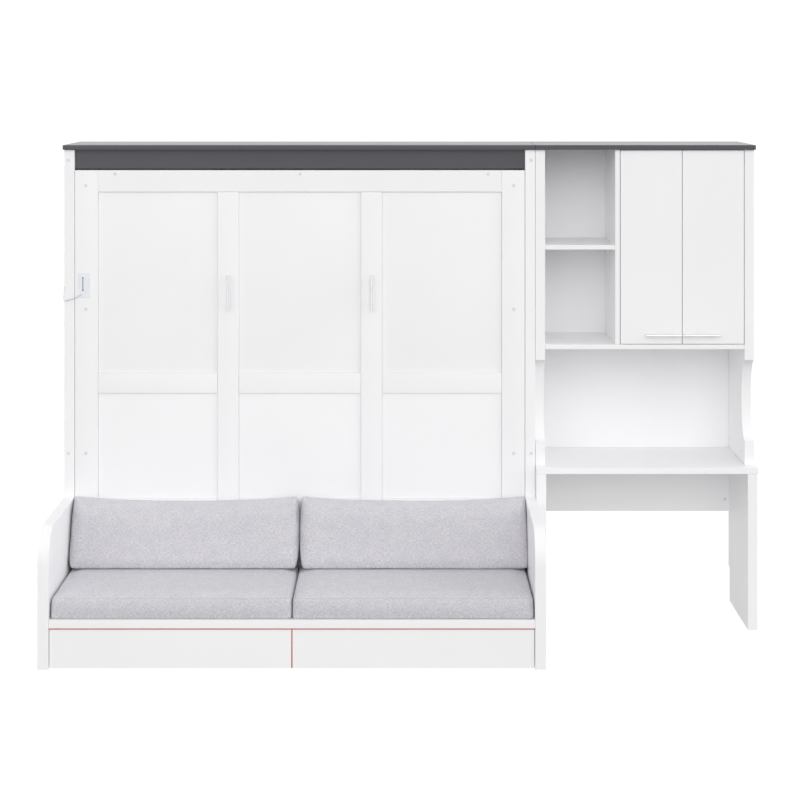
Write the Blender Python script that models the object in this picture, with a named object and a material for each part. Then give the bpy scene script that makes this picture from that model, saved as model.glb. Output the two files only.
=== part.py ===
"""Side-folding wall bed with a sofa in front of it and a desk with a hutch beside it.

Every place is worked out from three planes: the middle of the bed unit (x = 0), the front of the
cabinet (y = 0, with the room at -Y and the wall at +Y) and the floor (z = 0). One empty carries the
whole object, so that the middle of its footprint is the origin.
"""
import math

import bmesh
import bpy
from mathutils import Matrix, Vector

# Fits and clearances
TOUCH = 0.0003
FACE_GAP = 0.0035
DOOR_GAP = 0.003
DRAWER_GAP = 0.0025
PIN_PLAY = 0.0006
OVERRUN = 0.002

# Mattress that the bed is built for, and the room round it
MATTRESS_LENGTH = 2.030
MATTRESS_WIDTH = 1.530
MATTRESS_END_ROOM = 0.0075
MATTRESS_SIDE_ROOM = 0.009

# Bed box
RAIL_BOARD = 0.022
RAIL_DEPTH = 0.182
BED_BOTTOM = 0.530
FACE_BOARD = 0.018
FACE_OVERLAP = 0.0025
FACE_STILE = 0.1055
TOP_RAIL = 0.1005
BOTTOM_RAIL = 0.060
MID_STILE = 0.098
MID_STILE_OUT = 0.334
MID_RAIL = 0.0932
MID_RAIL_TOP = 1.1764
FIELD_RECESS = 0.008
LEDGE = 0.021
BEAM_WIDTH = 0.060

# Slats and their webbing
SLAT_COUNT = 22
SLAT_WIDTH = 0.060
SLAT_THICKNESS = 0.010
SLAT_END_ROOM = 0.004
WEBBING_WIDTH = 0.040
WEBBING_THICKNESS = 0.004
WEBBING_PLACE_SHARES = (0.25, 0.75)

# Bed pivot and its plate
PIVOT_BACK = 0.142
PIVOT_UP = 0.125
PIVOT_PIN_RADIUS = 0.008
PLATE_BOARD = 0.004
PLATE_HALF = 0.035
PLATE_MARGIN = 0.030

# Gas springs
SPRING_LENGTH = 0.500
SPRING_ARM_UP = 0.100
SPRING_ARM_FORWARD = 0.020
SPRING_STAND_OFF = 0.015
CYLINDER_LENGTH = 0.300
CYLINDER_RADIUS = 0.009
CYLINDER_FOOT = 0.060
ROD_RADIUS = 0.004
ROD_INSERTED = 0.120
EYE_RADIUS = 0.009
EYE_THICKNESS = 0.009
STUD_RADIUS = 0.004
STUD_PROUD = 0.001

# Fold-out legs on the free edge
LEG_BAR = 0.005
LEG_WIDTH = 0.045
LEG_BACK = 0.075
LEG_PIVOT_IN = 0.067
LEG_PIN_RADIUS = 0.004
LEG_PIN_LENGTH = 0.018
LEG_HEADROOM = 0.0012
FOOT_CLEARANCE = 0.003

# Bed cabinet
HEADER_HEIGHT = 0.0892
DEPTH = 0.400
STILE_FACE = 0.0475
STILE_BOARD = 0.018
SIDE_BOARD = 0.022
CAP_BOARD = 0.022
CAP_SIDE = 0.006
CAP_FRONT = 0.010
HEADER_BOARD = 0.018
BACK_SET_IN = 0.042
BACK_SHEET = 0.008
WALL_RAIL_BOARD = 0.018
WALL_RAIL_HEIGHT = 0.120
WALL_RAIL_DROP = 0.200
LOWER_PANEL_BOARD = 0.018
LOWER_PANEL_TOP = 0.505

# Sofa
SOFA_REACH = 0.557
ARM_BOARD = 0.0475
ARM_HEIGHT = 0.600
ARM_ROUND_DEEP = 0.120
ARM_ROUND_HIGH = 0.150
ARM_ROUND_STEPS = 12
SEAT_BOARD = 0.036
SEAT_BOARD_TOP = 0.213
SEAT_BOARD_BACK_SET = 0.002
STRIP_HEIGHT = 0.0045
STRIP_WIDTH = 0.004
STRIP_SET_BACK = 0.010
DIVIDER_BOARD = 0.018
DIVIDER_SET_BACK = 0.027

# Drawers
DRAWER_FRONT_BOARD = 0.018
DRAWER_FRONT_SET_BACK = 0.006
DRAWER_FRONT_BOTTOM = 0.005
DRAWER_STRIP_GAP = 0.0005
RUNNER_HEIGHT = 0.018
RUNNER_WIDTH = 0.020
RUNNER_TOP = 0.040
RUNNER_END_ROOM = 0.030
DRAWER_SIDE_PLAY = 0.003
DRAWER_BACK_ROOM = 0.0625
DRAWER_HEIGHT = 0.115
DRAWER_WALL = 0.012
DRAWER_BOTTOM = 0.006

# Seat cushions
SEAT_CUSHION_DEPTH = 0.541
SEAT_CUSHION_TOP = 0.315
SEAT_CUSHION_CROWN = 0.010
SEAT_CUSHION_SIDE_ROOM = 0.005
SEAT_CUSHION_MIDDLE_ROOM = 0.0025
SEAT_CUSHION_ROUND = 0.028
SEAT_CUSHION_PULL = 0.005
CUSHION_BACK_ROOM = 0.0035

# Back cushions
BACK_CUSHION_WIDTH = 1.028
BACK_CUSHION_PITCH = 1.037
BACK_CUSHION_SHIFT = 0.0065
BACK_CUSHION_HEIGHT = 0.285
BACK_CUSHION_LOW_THICKNESS = 0.180
BACK_CUSHION_HIGH_THICKNESS = 0.126
BACK_CUSHION_CROWN = 0.012
BACK_CUSHION_ROUND = 0.030
BACK_CUSHION_PULL = 0.012
CUSHION_ARC_STEPS = 2
CUSHION_LONG_STEPS = 16
CUSHION_SHORT_STEPS = 7
CUSHION_THROUGH_STEPS = 2

CROWN_POWER = 4
AXES = (0, 1, 2)
RING_STEPS = ((0, 0), (1, 0), (1, 1), (0, 1))
MATRIX_SIZE = 4

# Bar handles
HANDLE_LENGTH = 0.168
HANDLE_POST_PITCH = 0.108
HANDLE_RADIUS = 0.0055
HANDLE_POST_RADIUS = 0.0045
HANDLE_STAND_OFF = 0.030
BED_HANDLE_HEIGHT = 1.553
DOOR_HANDLE_UP = 0.043
DOOR_HANDLE_FROM_EDGE = 0.087

# Hutch
HUTCH_WIDTH = 1.020
HUTCH_SIDE = 0.045
HUTCH_DIVIDER = 0.022
CUBBY_WIDTH = 0.327
SHELF_BOARD = 0.0205
SHELF_TOP = 1.773
HUTCH_BOTTOM_BOARD = 0.022
HUTCH_BOTTOM_TOP = 1.310
SCOOP_MIDDLE = 1.049
SCOOP_HALF_HEIGHT = 0.187
SCOOP_DEPTH = 0.072
SCOOP_STEPS = 20

# Hutch doors
DOOR_BOARD = 0.016
DOOR_GAPS = 3
DOOR_PIN_IN = 0.012
DOOR_PIN_RADIUS = 0.003
DOOR_PIN_REACH = 0.008
DOOR_BORE_DEPTH = 0.010

# Desk
DESK_TOP = 0.748
DESK_BOARD = 0.027
DESK_REACH = 0.0625
DESK_LEG = 0.045
DESK_LEG_INSET = 0.004
DESK_LEG_BACK = 0.380
SKIRTING_HEIGHT = 0.165
SKIRTING_DEPTH = 0.026
MODESTY_BOARD = 0.018
MODESTY_BACK = 0.363
MODESTY_BOTTOM = 0.440

# Safety chain with its lock plate and anchor
LOCK_PLATE_WIDTH = 0.052
LOCK_PLATE_HEIGHT = 0.114
LOCK_PLATE_BOARD = 0.002
LOCK_PLATE_FROM_EDGE = 0.0145
LOCK_PLATE_DROP = 0.048
LOCK_SLOT_WIDTH = 0.006
LOCK_SLOT_FROM_EDGE = 0.0215
LOCK_SLOT_LENGTH = 0.066
LOCK_SLOT_UP = 0.0285
CHAIN_RADIUS = 0.0021
CHAIN_STAND_OFF = 0.0052
CHAIN_TURN_DROP = 0.0625
CHAIN_TURN_OUT = 0.0027
CHAIN_KNOB_RADIUS = 0.004
CHAIN_KNOB_THICKNESS = 0.004
CHAIN_KNOB_IN = 0.010
CHAIN_KNOB_UP = 0.0115
CHAIN_SAG = 0.006
CHAIN_STEPS = 8
CHAIN_OPEN_GAP = 0.0030
SAG_SHARE_FACTOR = 4
CHAIN_JOINT_PLAY = 0.0022
ANCHOR_HEIGHT = 1.577
ANCHOR_BACK = 0.014
ANCHOR_PLATE_HALF = 0.009
ANCHOR_PLATE_BOARD = 0.0014

# Turns in degrees
QUARTER_TURN = 90
HALF_TURN = 180
FULL_TURN = 360
CORNER_TURN = 45

# Facets of round pieces
FINE_SIDES = 24
PLAIN_SIDES = 16
HALF_SIDES = PLAIN_SIDES // 2
CHAIN_SIDES = 8

# Places worked out from the sizes above
BED_INNER_HALF = MATTRESS_LENGTH / 2 + MATTRESS_END_ROOM
BED_RAIL_HALF = BED_INNER_HALF + RAIL_BOARD
FACE_HALF = BED_RAIL_HALF + FACE_OVERLAP
OPEN_HALF = FACE_HALF + FACE_GAP
BED_HALF = OPEN_HALF + STILE_FACE
SIDE_INNER = BED_HALF - SIDE_BOARD
BED_TOP = BED_BOTTOM + MATTRESS_WIDTH + 2 * (MATTRESS_SIDE_ROOM + RAIL_BOARD)
BOX_FRONT = FACE_BOARD + TOUCH
BOX_BACK = BOX_FRONT + RAIL_DEPTH
FIELD_HALF = FACE_HALF - FACE_STILE
TOP_RAIL_BOTTOM = BED_TOP - TOP_RAIL
PIVOT = Vector((0, PIVOT_BACK, BED_BOTTOM + PIVOT_UP))
UNDERSIDE = PIVOT.z - PIVOT.y

LEG_TOP = BED_TOP + TOUCH + LEG_BAR
HEADER_BOTTOM = LEG_TOP + LEG_HEADROOM
BOARD_TOP = HEADER_BOTTOM + HEADER_HEIGHT
CAP_BOTTOM = BOARD_TOP + TOUCH
HEIGHT = CAP_BOTTOM + CAP_BOARD

SPRING_X = SIDE_INNER - SPRING_STAND_OFF
SPRING_FOOT = Vector((0, PIVOT.y - SPRING_ARM_FORWARD, PIVOT.z + SPRING_ARM_UP - SPRING_LENGTH))

ARM_INNER = BED_HALF - ARM_BOARD
BACK_FRONT = DEPTH - BACK_SET_IN
SEAT_BOARD_BOTTOM = SEAT_BOARD_TOP - SEAT_BOARD
DRAWER_FACE = -SOFA_REACH + DRAWER_FRONT_SET_BACK
DRAWER_BOX_FRONT = DRAWER_FACE + DRAWER_FRONT_BOARD + TOUCH
DIVIDER_FRONT = -SOFA_REACH + DIVIDER_SET_BACK
DRAWER_FRONT_TOP = SEAT_BOARD_BOTTOM - TOUCH - STRIP_HEIGHT - DRAWER_STRIP_GAP

BACK_CUSHION_BOTTOM = SEAT_CUSHION_TOP + TOUCH
BACK_CUSHION_TAPER = BACK_CUSHION_LOW_THICKNESS - BACK_CUSHION_HIGH_THICKNESS
BACK_CUSHION_LEAN = math.atan2(BACK_CUSHION_TAPER, BACK_CUSHION_HEIGHT)
CROWN_REACH = BACK_CUSHION_CROWN / math.cos(BACK_CUSHION_LEAN)
BACK_CUSHION_EDGE = -CUSHION_BACK_ROOM - BACK_CUSHION_LOW_THICKNESS - CROWN_REACH

HUTCH_LEFT = BED_HALF + TOUCH
HUTCH_RIGHT = HUTCH_LEFT + HUTCH_WIDTH
HUTCH_INNER_LEFT = HUTCH_LEFT + HUTCH_SIDE
HUTCH_INNER_RIGHT = HUTCH_RIGHT - HUTCH_SIDE
DIVIDER_LEFT = HUTCH_INNER_LEFT + CUBBY_WIDTH
DIVIDER_RIGHT = DIVIDER_LEFT + HUTCH_DIVIDER
DOOR_WIDTH = (HUTCH_INNER_RIGHT - DIVIDER_RIGHT - DOOR_GAPS * DOOR_GAP) / 2
DOOR_BOTTOM = HUTCH_BOTTOM_TOP + DOOR_GAP
DOOR_TOP = CAP_BOTTOM - DOOR_GAP
LEFT_DOOR_EDGE = DIVIDER_RIGHT + DOOR_GAP
RIGHT_DOOR_EDGE = HUTCH_INNER_RIGHT - DOOR_GAP
LEFT_DOOR_PIN = LEFT_DOOR_EDGE + DOOR_PIN_IN
RIGHT_DOOR_PIN = RIGHT_DOOR_EDGE - DOOR_PIN_IN
DESK_UNDER = DESK_TOP - DESK_BOARD
DESK_RIGHT = HUTCH_RIGHT + CAP_SIDE

LOCK_PLATE_BOTTOM = ANCHOR_HEIGHT - LOCK_PLATE_DROP
CHAIN_TURN = Vector((-BED_HALF - CHAIN_TURN_OUT, -CHAIN_STAND_OFF, ANCHOR_HEIGHT - CHAIN_TURN_DROP))
CHAIN_OPEN_X = -(FACE_HALF + OPEN_HALF) / 2
KNOB_X = -FACE_HALF + LOCK_PLATE_FROM_EDGE + CHAIN_KNOB_IN
KNOB_Z = LOCK_PLATE_BOTTOM + CHAIN_KNOB_UP

LEFT_END = -BED_HALF - CAP_SIDE
RIGHT_END = HUTCH_RIGHT + CAP_SIDE
FOOTPRINT_MIDDLE = Vector(((LEFT_END + RIGHT_END) / 2, (DEPTH - SOFA_REACH) / 2, 0))


# Finishes: name, linear RGB, roughness, metallic
FINISHES = {
    "white": ("white_lacquered_board", (0.88, 0.88, 0.89), 0.35, 0),
    "dark": ("dark_grey_board", (0.115, 0.112, 0.130), 0.45, 0),
    "pine": ("pine", (0.62, 0.44, 0.26), 0.6, 0),
    "birch": ("birch_ply", (0.72, 0.56, 0.38), 0.55, 0),
    "steel": ("zinc_plated_steel", (0.55, 0.56, 0.58), 0.3, 1),
    "dark_steel": ("dark_grey_painted_steel", (0.115, 0.112, 0.130), 0.4, 0.3),
    "black_steel": ("black_painted_steel", (0.02, 0.02, 0.022), 0.35, 0.5),
    "nickel": ("satin_nickel", (0.70, 0.70, 0.70), 0.28, 1),
    "fabric": ("grey_melange_fabric", (0.62, 0.63, 0.67), 0.95, 0),
    "salmon": ("salmon_edge_strip", (0.62, 0.27, 0.24), 0.5, 0),
}


def finish(name, colour, roughness, metallic):
    """Make a plain Principled material; the colour is linear RGB."""
    material = bpy.data.materials.new(name)
    material.use_nodes = True
    shader = material.node_tree.nodes["Principled BSDF"]
    shader.inputs["Base Color"].default_value = (*colour, 1)
    shader.inputs["Roughness"].default_value = roughness
    shader.inputs["Metallic"].default_value = metallic
    return material


# Building blocks
def add_body(name, unit, place):
    """Add the empty that a body's pieces hang from, standing on the body's joint axis."""
    body = bpy.data.objects.new(name, None)
    bpy.context.collection.objects.link(body)
    body.parent = unit
    body.location = place
    return body


def add_mesh(name, mesh_data, look, body):
    """Make an object of a bmesh given in the cabinet's coordinates, carried by a body."""
    bmesh.ops.recalc_face_normals(mesh_data, faces=mesh_data.faces)
    mesh_data.transform(Matrix.Translation(-body.location))
    mesh = bpy.data.meshes.new(name)
    mesh_data.to_mesh(mesh)
    mesh_data.free()
    mesh.materials.append(look)
    piece = bpy.data.objects.new(name, mesh)
    bpy.context.collection.objects.link(piece)
    piece.parent = body
    return piece


def board_mesh(x, y, z):
    """A board as a bmesh; x, y and z are its (low, high) places."""
    shape = bmesh.new()
    bmesh.ops.create_cube(shape, size=1)
    low = Vector((min(x), min(y), min(z)))
    high = Vector((max(x), max(y), max(z)))
    size = Matrix.Diagonal((*(high - low), 1))
    shape.transform(Matrix.Translation((low + high) / 2) @ size)
    return shape


def prism_mesh(outline, axis, span):
    """Extrude an outline along X, Y or Z; its points hold the other two coordinates in order."""
    shape = bmesh.new()
    order = "XYZ".index(axis)
    rings = []
    for place in span:
        ring = []
        for first, second in outline:
            point = [first, second]
            point.insert(order, place)
            ring.append(shape.verts.new(point))
        rings.append(ring)
    count = len(outline)
    for i in range(count):
        j = (i + 1) % count
        shape.faces.new((rings[0][i], rings[0][j], rings[1][j], rings[1][i]))
    shape.faces.new(rings[0])
    shape.faces.new(rings[1])
    return shape


def tube_mesh(points, radius, sides):
    """A round bar through the points, with flat ends."""
    shape = bmesh.new()
    rings = []
    last = len(points) - 1
    for i, point in enumerate(points):
        along = (points[min(i + 1, last)] - points[max(i - 1, 0)]).normalized()
        turn = along.to_track_quat("Z", "Y")
        ring = []
        for k in range(sides):
            angle = math.tau * k / sides
            offset = Vector((math.cos(angle), math.sin(angle), 0)) * radius
            ring.append(shape.verts.new(point + turn @ offset))
        rings.append(ring)
    for lower, upper in zip(rings, rings[1:]):
        for k in range(sides):
            j = (k + 1) % sides
            shape.faces.new((lower[k], lower[j], upper[j], upper[k]))
    shape.faces.new(rings[0])
    shape.faces.new(rings[-1])
    return shape


def arc(middle_y, middle_z, reach_y, reach_z, start, end, steps):
    """Points of an elliptical arc from start to end degrees."""
    points = []
    for i in range(steps + 1):
        angle = math.radians(start + (end - start) * i / steps)
        points.append((middle_y + reach_y * math.cos(angle), middle_z + reach_z * math.sin(angle)))
    return points


def hide_tool(tool):
    """Keep a piece out of the object: it only shapes another one."""
    tool.hide_render = True
    tool.display_type = "WIRE"


def shape_with(piece, tool_mesh, operation):
    """Join a bmesh to a piece (UNION) or cut it out of the piece (DIFFERENCE)."""
    body = piece.parent
    tool = add_mesh(f"{piece.name}_tool_{len(piece.modifiers)}", tool_mesh, piece.data.materials[0], body)
    hide_tool(tool)
    modifier = piece.modifiers.new(f"{operation.lower()}_{len(piece.modifiers)}", "BOOLEAN")
    modifier.operation = operation
    modifier.solver = "EXACT"
    modifier.object = tool


def mirrored(side, low, high):
    """The (low, high) places of a piece on the left (-1) or right (1) side."""
    return tuple(sorted((side * low, side * high)))


# Bed cabinet
def build_cabinet(looks, root):
    white = looks["white"]
    dark = looks["dark"]
    cap_depth = (-CAP_FRONT, DEPTH)
    add_mesh("bed_cap", board_mesh((LEFT_END, BED_HALF), cap_depth, (CAP_BOTTOM, HEIGHT)), dark, root)
    header = board_mesh(
        (-SIDE_INNER + TOUCH, SIDE_INNER - TOUCH),
        (STILE_BOARD + TOUCH, STILE_BOARD + TOUCH + HEADER_BOARD),
        (HEADER_BOTTOM, BOARD_TOP),
    )
    add_mesh("header_board", header, dark, root)
    for side, word in ((-1, "left"), (1, "right")):
        side_board = board_mesh(
            mirrored(side, SIDE_INNER, BED_HALF), (STILE_BOARD + TOUCH, DEPTH), (0, BOARD_TOP)
        )
        add_mesh(f"bed_side_{word}", side_board, white, root)
        stile = board_mesh(mirrored(side, OPEN_HALF, BED_HALF), (0, STILE_BOARD), (0, BOARD_TOP))
        add_mesh(f"front_stile_{word}", stile, white, root)
        build_pivot_plate(side, word, looks["steel"], root)
    inside = (-SIDE_INNER + TOUCH, SIDE_INNER - TOUCH)
    back = board_mesh(inside, (BACK_FRONT, BACK_FRONT + BACK_SHEET), (0, BOARD_TOP))
    add_mesh("bed_back_panel", back, white, root)
    rail_top = BOARD_TOP - WALL_RAIL_DROP
    rail = board_mesh(inside, (DEPTH - WALL_RAIL_BOARD, DEPTH), (rail_top - WALL_RAIL_HEIGHT, rail_top))
    add_mesh("wall_rail", rail, looks["pine"], root)
    lower = board_mesh(
        (-OPEN_HALF + TOUCH, OPEN_HALF - TOUCH), (TOUCH, TOUCH + LOWER_PANEL_BOARD), (0, LOWER_PANEL_TOP)
    )
    add_mesh("lower_front_panel", lower, white, root)


def build_pivot_plate(side, word, steel, root):
    """Steel plate on the side board, with the bed's pivot pin and the gas spring's stud."""
    outer = SIDE_INNER - TOUCH
    inner = outer - PLATE_BOARD
    plate = add_mesh(
        f"pivot_plate_{word}",
        board_mesh(
            mirrored(side, inner, outer),
            (PIVOT.y - PLATE_HALF, PIVOT.y + PLATE_HALF),
            (SPRING_FOOT.z - PLATE_MARGIN, PIVOT.z + PLATE_MARGIN),
        ),
        steel,
        root,
    )
    root_x = side * (inner + PLATE_BOARD / 2)
    pin_end = side * (BED_INNER_HALF + OVERRUN)
    pin = [Vector((root_x, *PIVOT.yz)), Vector((pin_end, *PIVOT.yz))]
    shape_with(plate, tube_mesh(pin, PIVOT_PIN_RADIUS, FINE_SIDES), "UNION")
    stud_end = side * (SPRING_X - EYE_THICKNESS / 2 - STUD_PROUD)
    stud = [Vector((root_x, *SPRING_FOOT.yz)), Vector((stud_end, *SPRING_FOOT.yz))]
    shape_with(plate, tube_mesh(stud, STUD_RADIUS, PLAIN_SIDES), "UNION")


# Gas springs
def build_spring(side, word, looks, cylinder_body, rod_body):
    """Cylinder on the cabinet's stud, and rod with the pin that the bed's side rail takes."""
    x = side * SPRING_X
    foot = Vector((x, SPRING_FOOT.y, SPRING_FOOT.z))
    head = foot + Vector((0, 0, SPRING_LENGTH))
    mouth = foot + Vector((0, 0, CYLINDER_LENGTH))
    half_eye = Vector((EYE_THICKNESS / 2, 0, 0))
    cylinder = add_mesh(
        f"spring_cylinder_{word}",
        tube_mesh([foot + Vector((0, 0, EYE_RADIUS / 2)), mouth], CYLINDER_RADIUS, PLAIN_SIDES),
        looks["black_steel"],
        cylinder_body,
    )
    shape_with(cylinder, tube_mesh([foot - half_eye, foot + half_eye], EYE_RADIUS, PLAIN_SIDES), "UNION")
    stud_way = Vector((EYE_THICKNESS, 0, 0))
    bore = tube_mesh([foot - stud_way, foot + stud_way], STUD_RADIUS + PIN_PLAY, PLAIN_SIDES)
    shape_with(cylinder, bore, "DIFFERENCE")
    rod_bore = [foot + Vector((0, 0, CYLINDER_FOOT)), mouth + Vector((0, 0, OVERRUN))]
    shape_with(cylinder, tube_mesh(rod_bore, ROD_RADIUS + PIN_PLAY, PLAIN_SIDES), "DIFFERENCE")

    rod_low = mouth - Vector((0, 0, ROD_INSERTED))
    rod = add_mesh(
        f"spring_rod_{word}",
        tube_mesh([rod_low, head - Vector((0, 0, EYE_RADIUS / 2))], ROD_RADIUS, PLAIN_SIDES),
        looks["steel"],
        rod_body,
    )
    shape_with(rod, tube_mesh([head - half_eye, head + half_eye], EYE_RADIUS, PLAIN_SIDES), "UNION")
    pin_end = Vector((side * (BED_RAIL_HALF + STUD_PROUD), head.y, head.z))
    shape_with(rod, tube_mesh([head, pin_end], STUD_RADIUS, PLAIN_SIDES), "UNION")


# Bed
def build_bed(looks, bed):
    white = looks["white"]
    build_face(white, bed)
    between = (-BED_INNER_HALF + TOUCH, BED_INNER_HALF - TOUCH)
    box_y = (BOX_FRONT, BOX_BACK)
    for side, word in ((-1, "left"), (1, "right")):
        rail = add_mesh(
            f"bed_rail_{word}",
            board_mesh(mirrored(side, BED_INNER_HALF, BED_RAIL_HALF), box_y, (BED_BOTTOM, BED_TOP)),
            white,
            bed,
        )
        low = side * (BED_INNER_HALF - OVERRUN)
        high = side * (BED_RAIL_HALF + OVERRUN)
        pivot_bore = [Vector((low, *PIVOT.yz)), Vector((high, *PIVOT.yz))]
        shape_with(rail, tube_mesh(pivot_bore, PIVOT_PIN_RADIUS + PIN_PLAY, FINE_SIDES), "DIFFERENCE")
        head_y = SPRING_FOOT.y
        head_z = SPRING_FOOT.z + SPRING_LENGTH
        stud_bore = [Vector((low, head_y, head_z)), Vector((high, head_y, head_z))]
        shape_with(rail, tube_mesh(stud_bore, STUD_RADIUS + PIN_PLAY, PLAIN_SIDES), "DIFFERENCE")

    top_outline = [
        (BOX_FRONT, BED_TOP),
        (BOX_BACK, BED_TOP),
        (BOX_BACK, BED_TOP - RAIL_BOARD),
        (BOX_FRONT + LEDGE, BED_TOP - RAIL_BOARD),
        (BOX_FRONT + LEDGE, BED_TOP - RAIL_BOARD - LEDGE),
        (BOX_FRONT, BED_TOP - RAIL_BOARD - LEDGE),
    ]
    top_rail = add_mesh("bed_rail_top", prism_mesh(top_outline, "X", between), white, bed)
    for side in (-1, 1):
        x = side * (FACE_HALF - LEG_PIVOT_IN)
        bore_low = BED_TOP - LEG_PIN_LENGTH - OVERRUN
        bore = [Vector((x, LEG_BACK, bore_low)), Vector((x, LEG_BACK, BED_TOP + OVERRUN))]
        shape_with(top_rail, tube_mesh(bore, LEG_PIN_RADIUS + PIN_PLAY, PLAIN_SIDES), "DIFFERENCE")
    bottom_outline = [(y, BED_BOTTOM + BED_TOP - z) for y, z in top_outline]
    add_mesh("bed_rail_bottom", prism_mesh(bottom_outline, "X", between), white, bed)

    middle = (BED_BOTTOM + BED_TOP) / 2
    beam = board_mesh(
        between, (BOX_FRONT, BOX_FRONT + LEDGE), (middle - BEAM_WIDTH / 2, middle + BEAM_WIDTH / 2)
    )
    add_mesh("bed_mid_beam", beam, looks["pine"], bed)
    build_slats(looks["birch"], bed)


def build_face(white, bed):
    """Front of the bed: a milled panel with six fields, two stiles and a top rail."""
    depth = (0, FACE_BOARD)
    for side, word in ((-1, "left"), (1, "right")):
        stile = board_mesh(mirrored(side, FIELD_HALF, FACE_HALF), depth, (BED_BOTTOM, BED_TOP))
        add_mesh(f"face_stile_{word}", stile, white, bed)
    between = (-FIELD_HALF + TOUCH, FIELD_HALF - TOUCH)
    add_mesh("face_top_rail", board_mesh(between, depth, (TOP_RAIL_BOTTOM, BED_TOP)), white, bed)
    panel_top = TOP_RAIL_BOTTOM - TOUCH
    panel = add_mesh("face_panel", board_mesh(between, depth, (BED_BOTTOM, panel_top)), white, bed)
    columns = (
        (-FIELD_HALF - OVERRUN, -MID_STILE_OUT - MID_STILE / 2),
        (-MID_STILE_OUT + MID_STILE / 2, MID_STILE_OUT - MID_STILE / 2),
        (MID_STILE_OUT + MID_STILE / 2, FIELD_HALF + OVERRUN),
    )
    rows = (
        (BED_BOTTOM + BOTTOM_RAIL, MID_RAIL_TOP - MID_RAIL),
        (MID_RAIL_TOP, panel_top + OVERRUN),
    )
    for column in columns:
        for row in rows:
            shape_with(panel, board_mesh(column, (-OVERRUN, FIELD_RECESS), row), "DIFFERENCE")


def build_slats(birch, bed):
    """Slats across the bed, held at an even pitch by two webbing bands."""
    front = BOX_FRONT + LEDGE + TOUCH
    low = BED_BOTTOM + RAIL_BOARD + SLAT_END_ROOM
    high = BED_TOP - RAIL_BOARD - SLAT_END_ROOM
    depth = (front, front + SLAT_THICKNESS)
    pitch = 2 * BED_INNER_HALF / SLAT_COUNT
    slats = bmesh.new()
    for i in range(SLAT_COUNT):
        x = -BED_INNER_HALF + pitch * (i + 1 / 2)
        slat = board_mesh((x - SLAT_WIDTH / 2, x + SLAT_WIDTH / 2), depth, (low, high))
        slat_data = bpy.data.meshes.new("slat")
        slat.to_mesh(slat_data)
        slat.free()
        slats.from_mesh(slat_data)
        bpy.data.meshes.remove(slat_data)
    roll = add_mesh("slat_roll", slats, birch, bed)
    half_run = BED_INNER_HALF - pitch / 2
    middle_y = front + SLAT_THICKNESS / 2
    for share in WEBBING_PLACE_SHARES:
        z = low + (high - low) * share
        band = board_mesh(
            (-half_run, half_run),
            (middle_y - WEBBING_THICKNESS / 2, middle_y + WEBBING_THICKNESS / 2),
            (z - WEBBING_WIDTH / 2, z + WEBBING_WIDTH / 2),
        )
        shape_with(roll, band, "UNION")


def build_fold_leg(side, word, steel, leg_body):
    """Flat steel leg that lies along the free edge and swings out square to the face."""
    pivot_x = side * (FACE_HALF - LEG_PIVOT_IN)
    length = LEG_BACK + UNDERSIDE - FOOT_CLEARANCE
    radius = LEG_WIDTH / 2
    outline = arc(pivot_x, LEG_BACK, side * radius, radius, -QUARTER_TURN, QUARTER_TURN, HALF_SIDES)
    tip = pivot_x - side * length
    outline += [(tip, LEG_BACK + radius), (tip, LEG_BACK - radius)]
    low = BED_TOP + TOUCH
    leg = add_mesh(f"fold_leg_{word}", prism_mesh(outline, "Z", (low, low + LEG_BAR)), steel, leg_body)
    pin_low = Vector((pivot_x, LEG_BACK, BED_TOP - LEG_PIN_LENGTH))
    pin = [pin_low, Vector((pivot_x, LEG_BACK, low + LEG_BAR / 2))]
    shape_with(leg, tube_mesh(pin, LEG_PIN_RADIUS, PLAIN_SIDES), "UNION")


def build_handle(name, middle, along, metal, body):
    """Bar handle on two posts; middle is on the face that it is screwed to."""
    bar_middle = middle - Vector((0, HANDLE_STAND_OFF - HANDLE_RADIUS, 0))
    half = along * (HANDLE_LENGTH / 2)
    bar = tube_mesh([bar_middle - half, bar_middle + half], HANDLE_RADIUS, PLAIN_SIDES)
    handle = add_mesh(name, bar, metal, body)
    for end in (-1, 1):
        post = along * (end * HANDLE_POST_PITCH / 2)
        foot = middle + post - Vector((0, TOUCH, 0))
        shape_with(handle, tube_mesh([foot, bar_middle + post], HANDLE_POST_RADIUS, PLAIN_SIDES), "UNION")


# Safety chain
def chain_route(low_x, high_x):
    """Points of the hooked chain between two places across the cabinet, with its sag."""
    knob = Vector((KNOB_X, CHAIN_TURN.y, KNOB_Z))
    route = []
    for i in range(CHAIN_STEPS + 1):
        x = low_x + (high_x - low_x) * i / CHAIN_STEPS
        share = (x - CHAIN_TURN.x) / (knob.x - CHAIN_TURN.x)
        sag = CHAIN_SAG * SAG_SHARE_FACTOR * share * (1 - share)
        route.append(CHAIN_TURN.lerp(knob, share) - Vector((0, 0, sag)))
    return route


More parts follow.
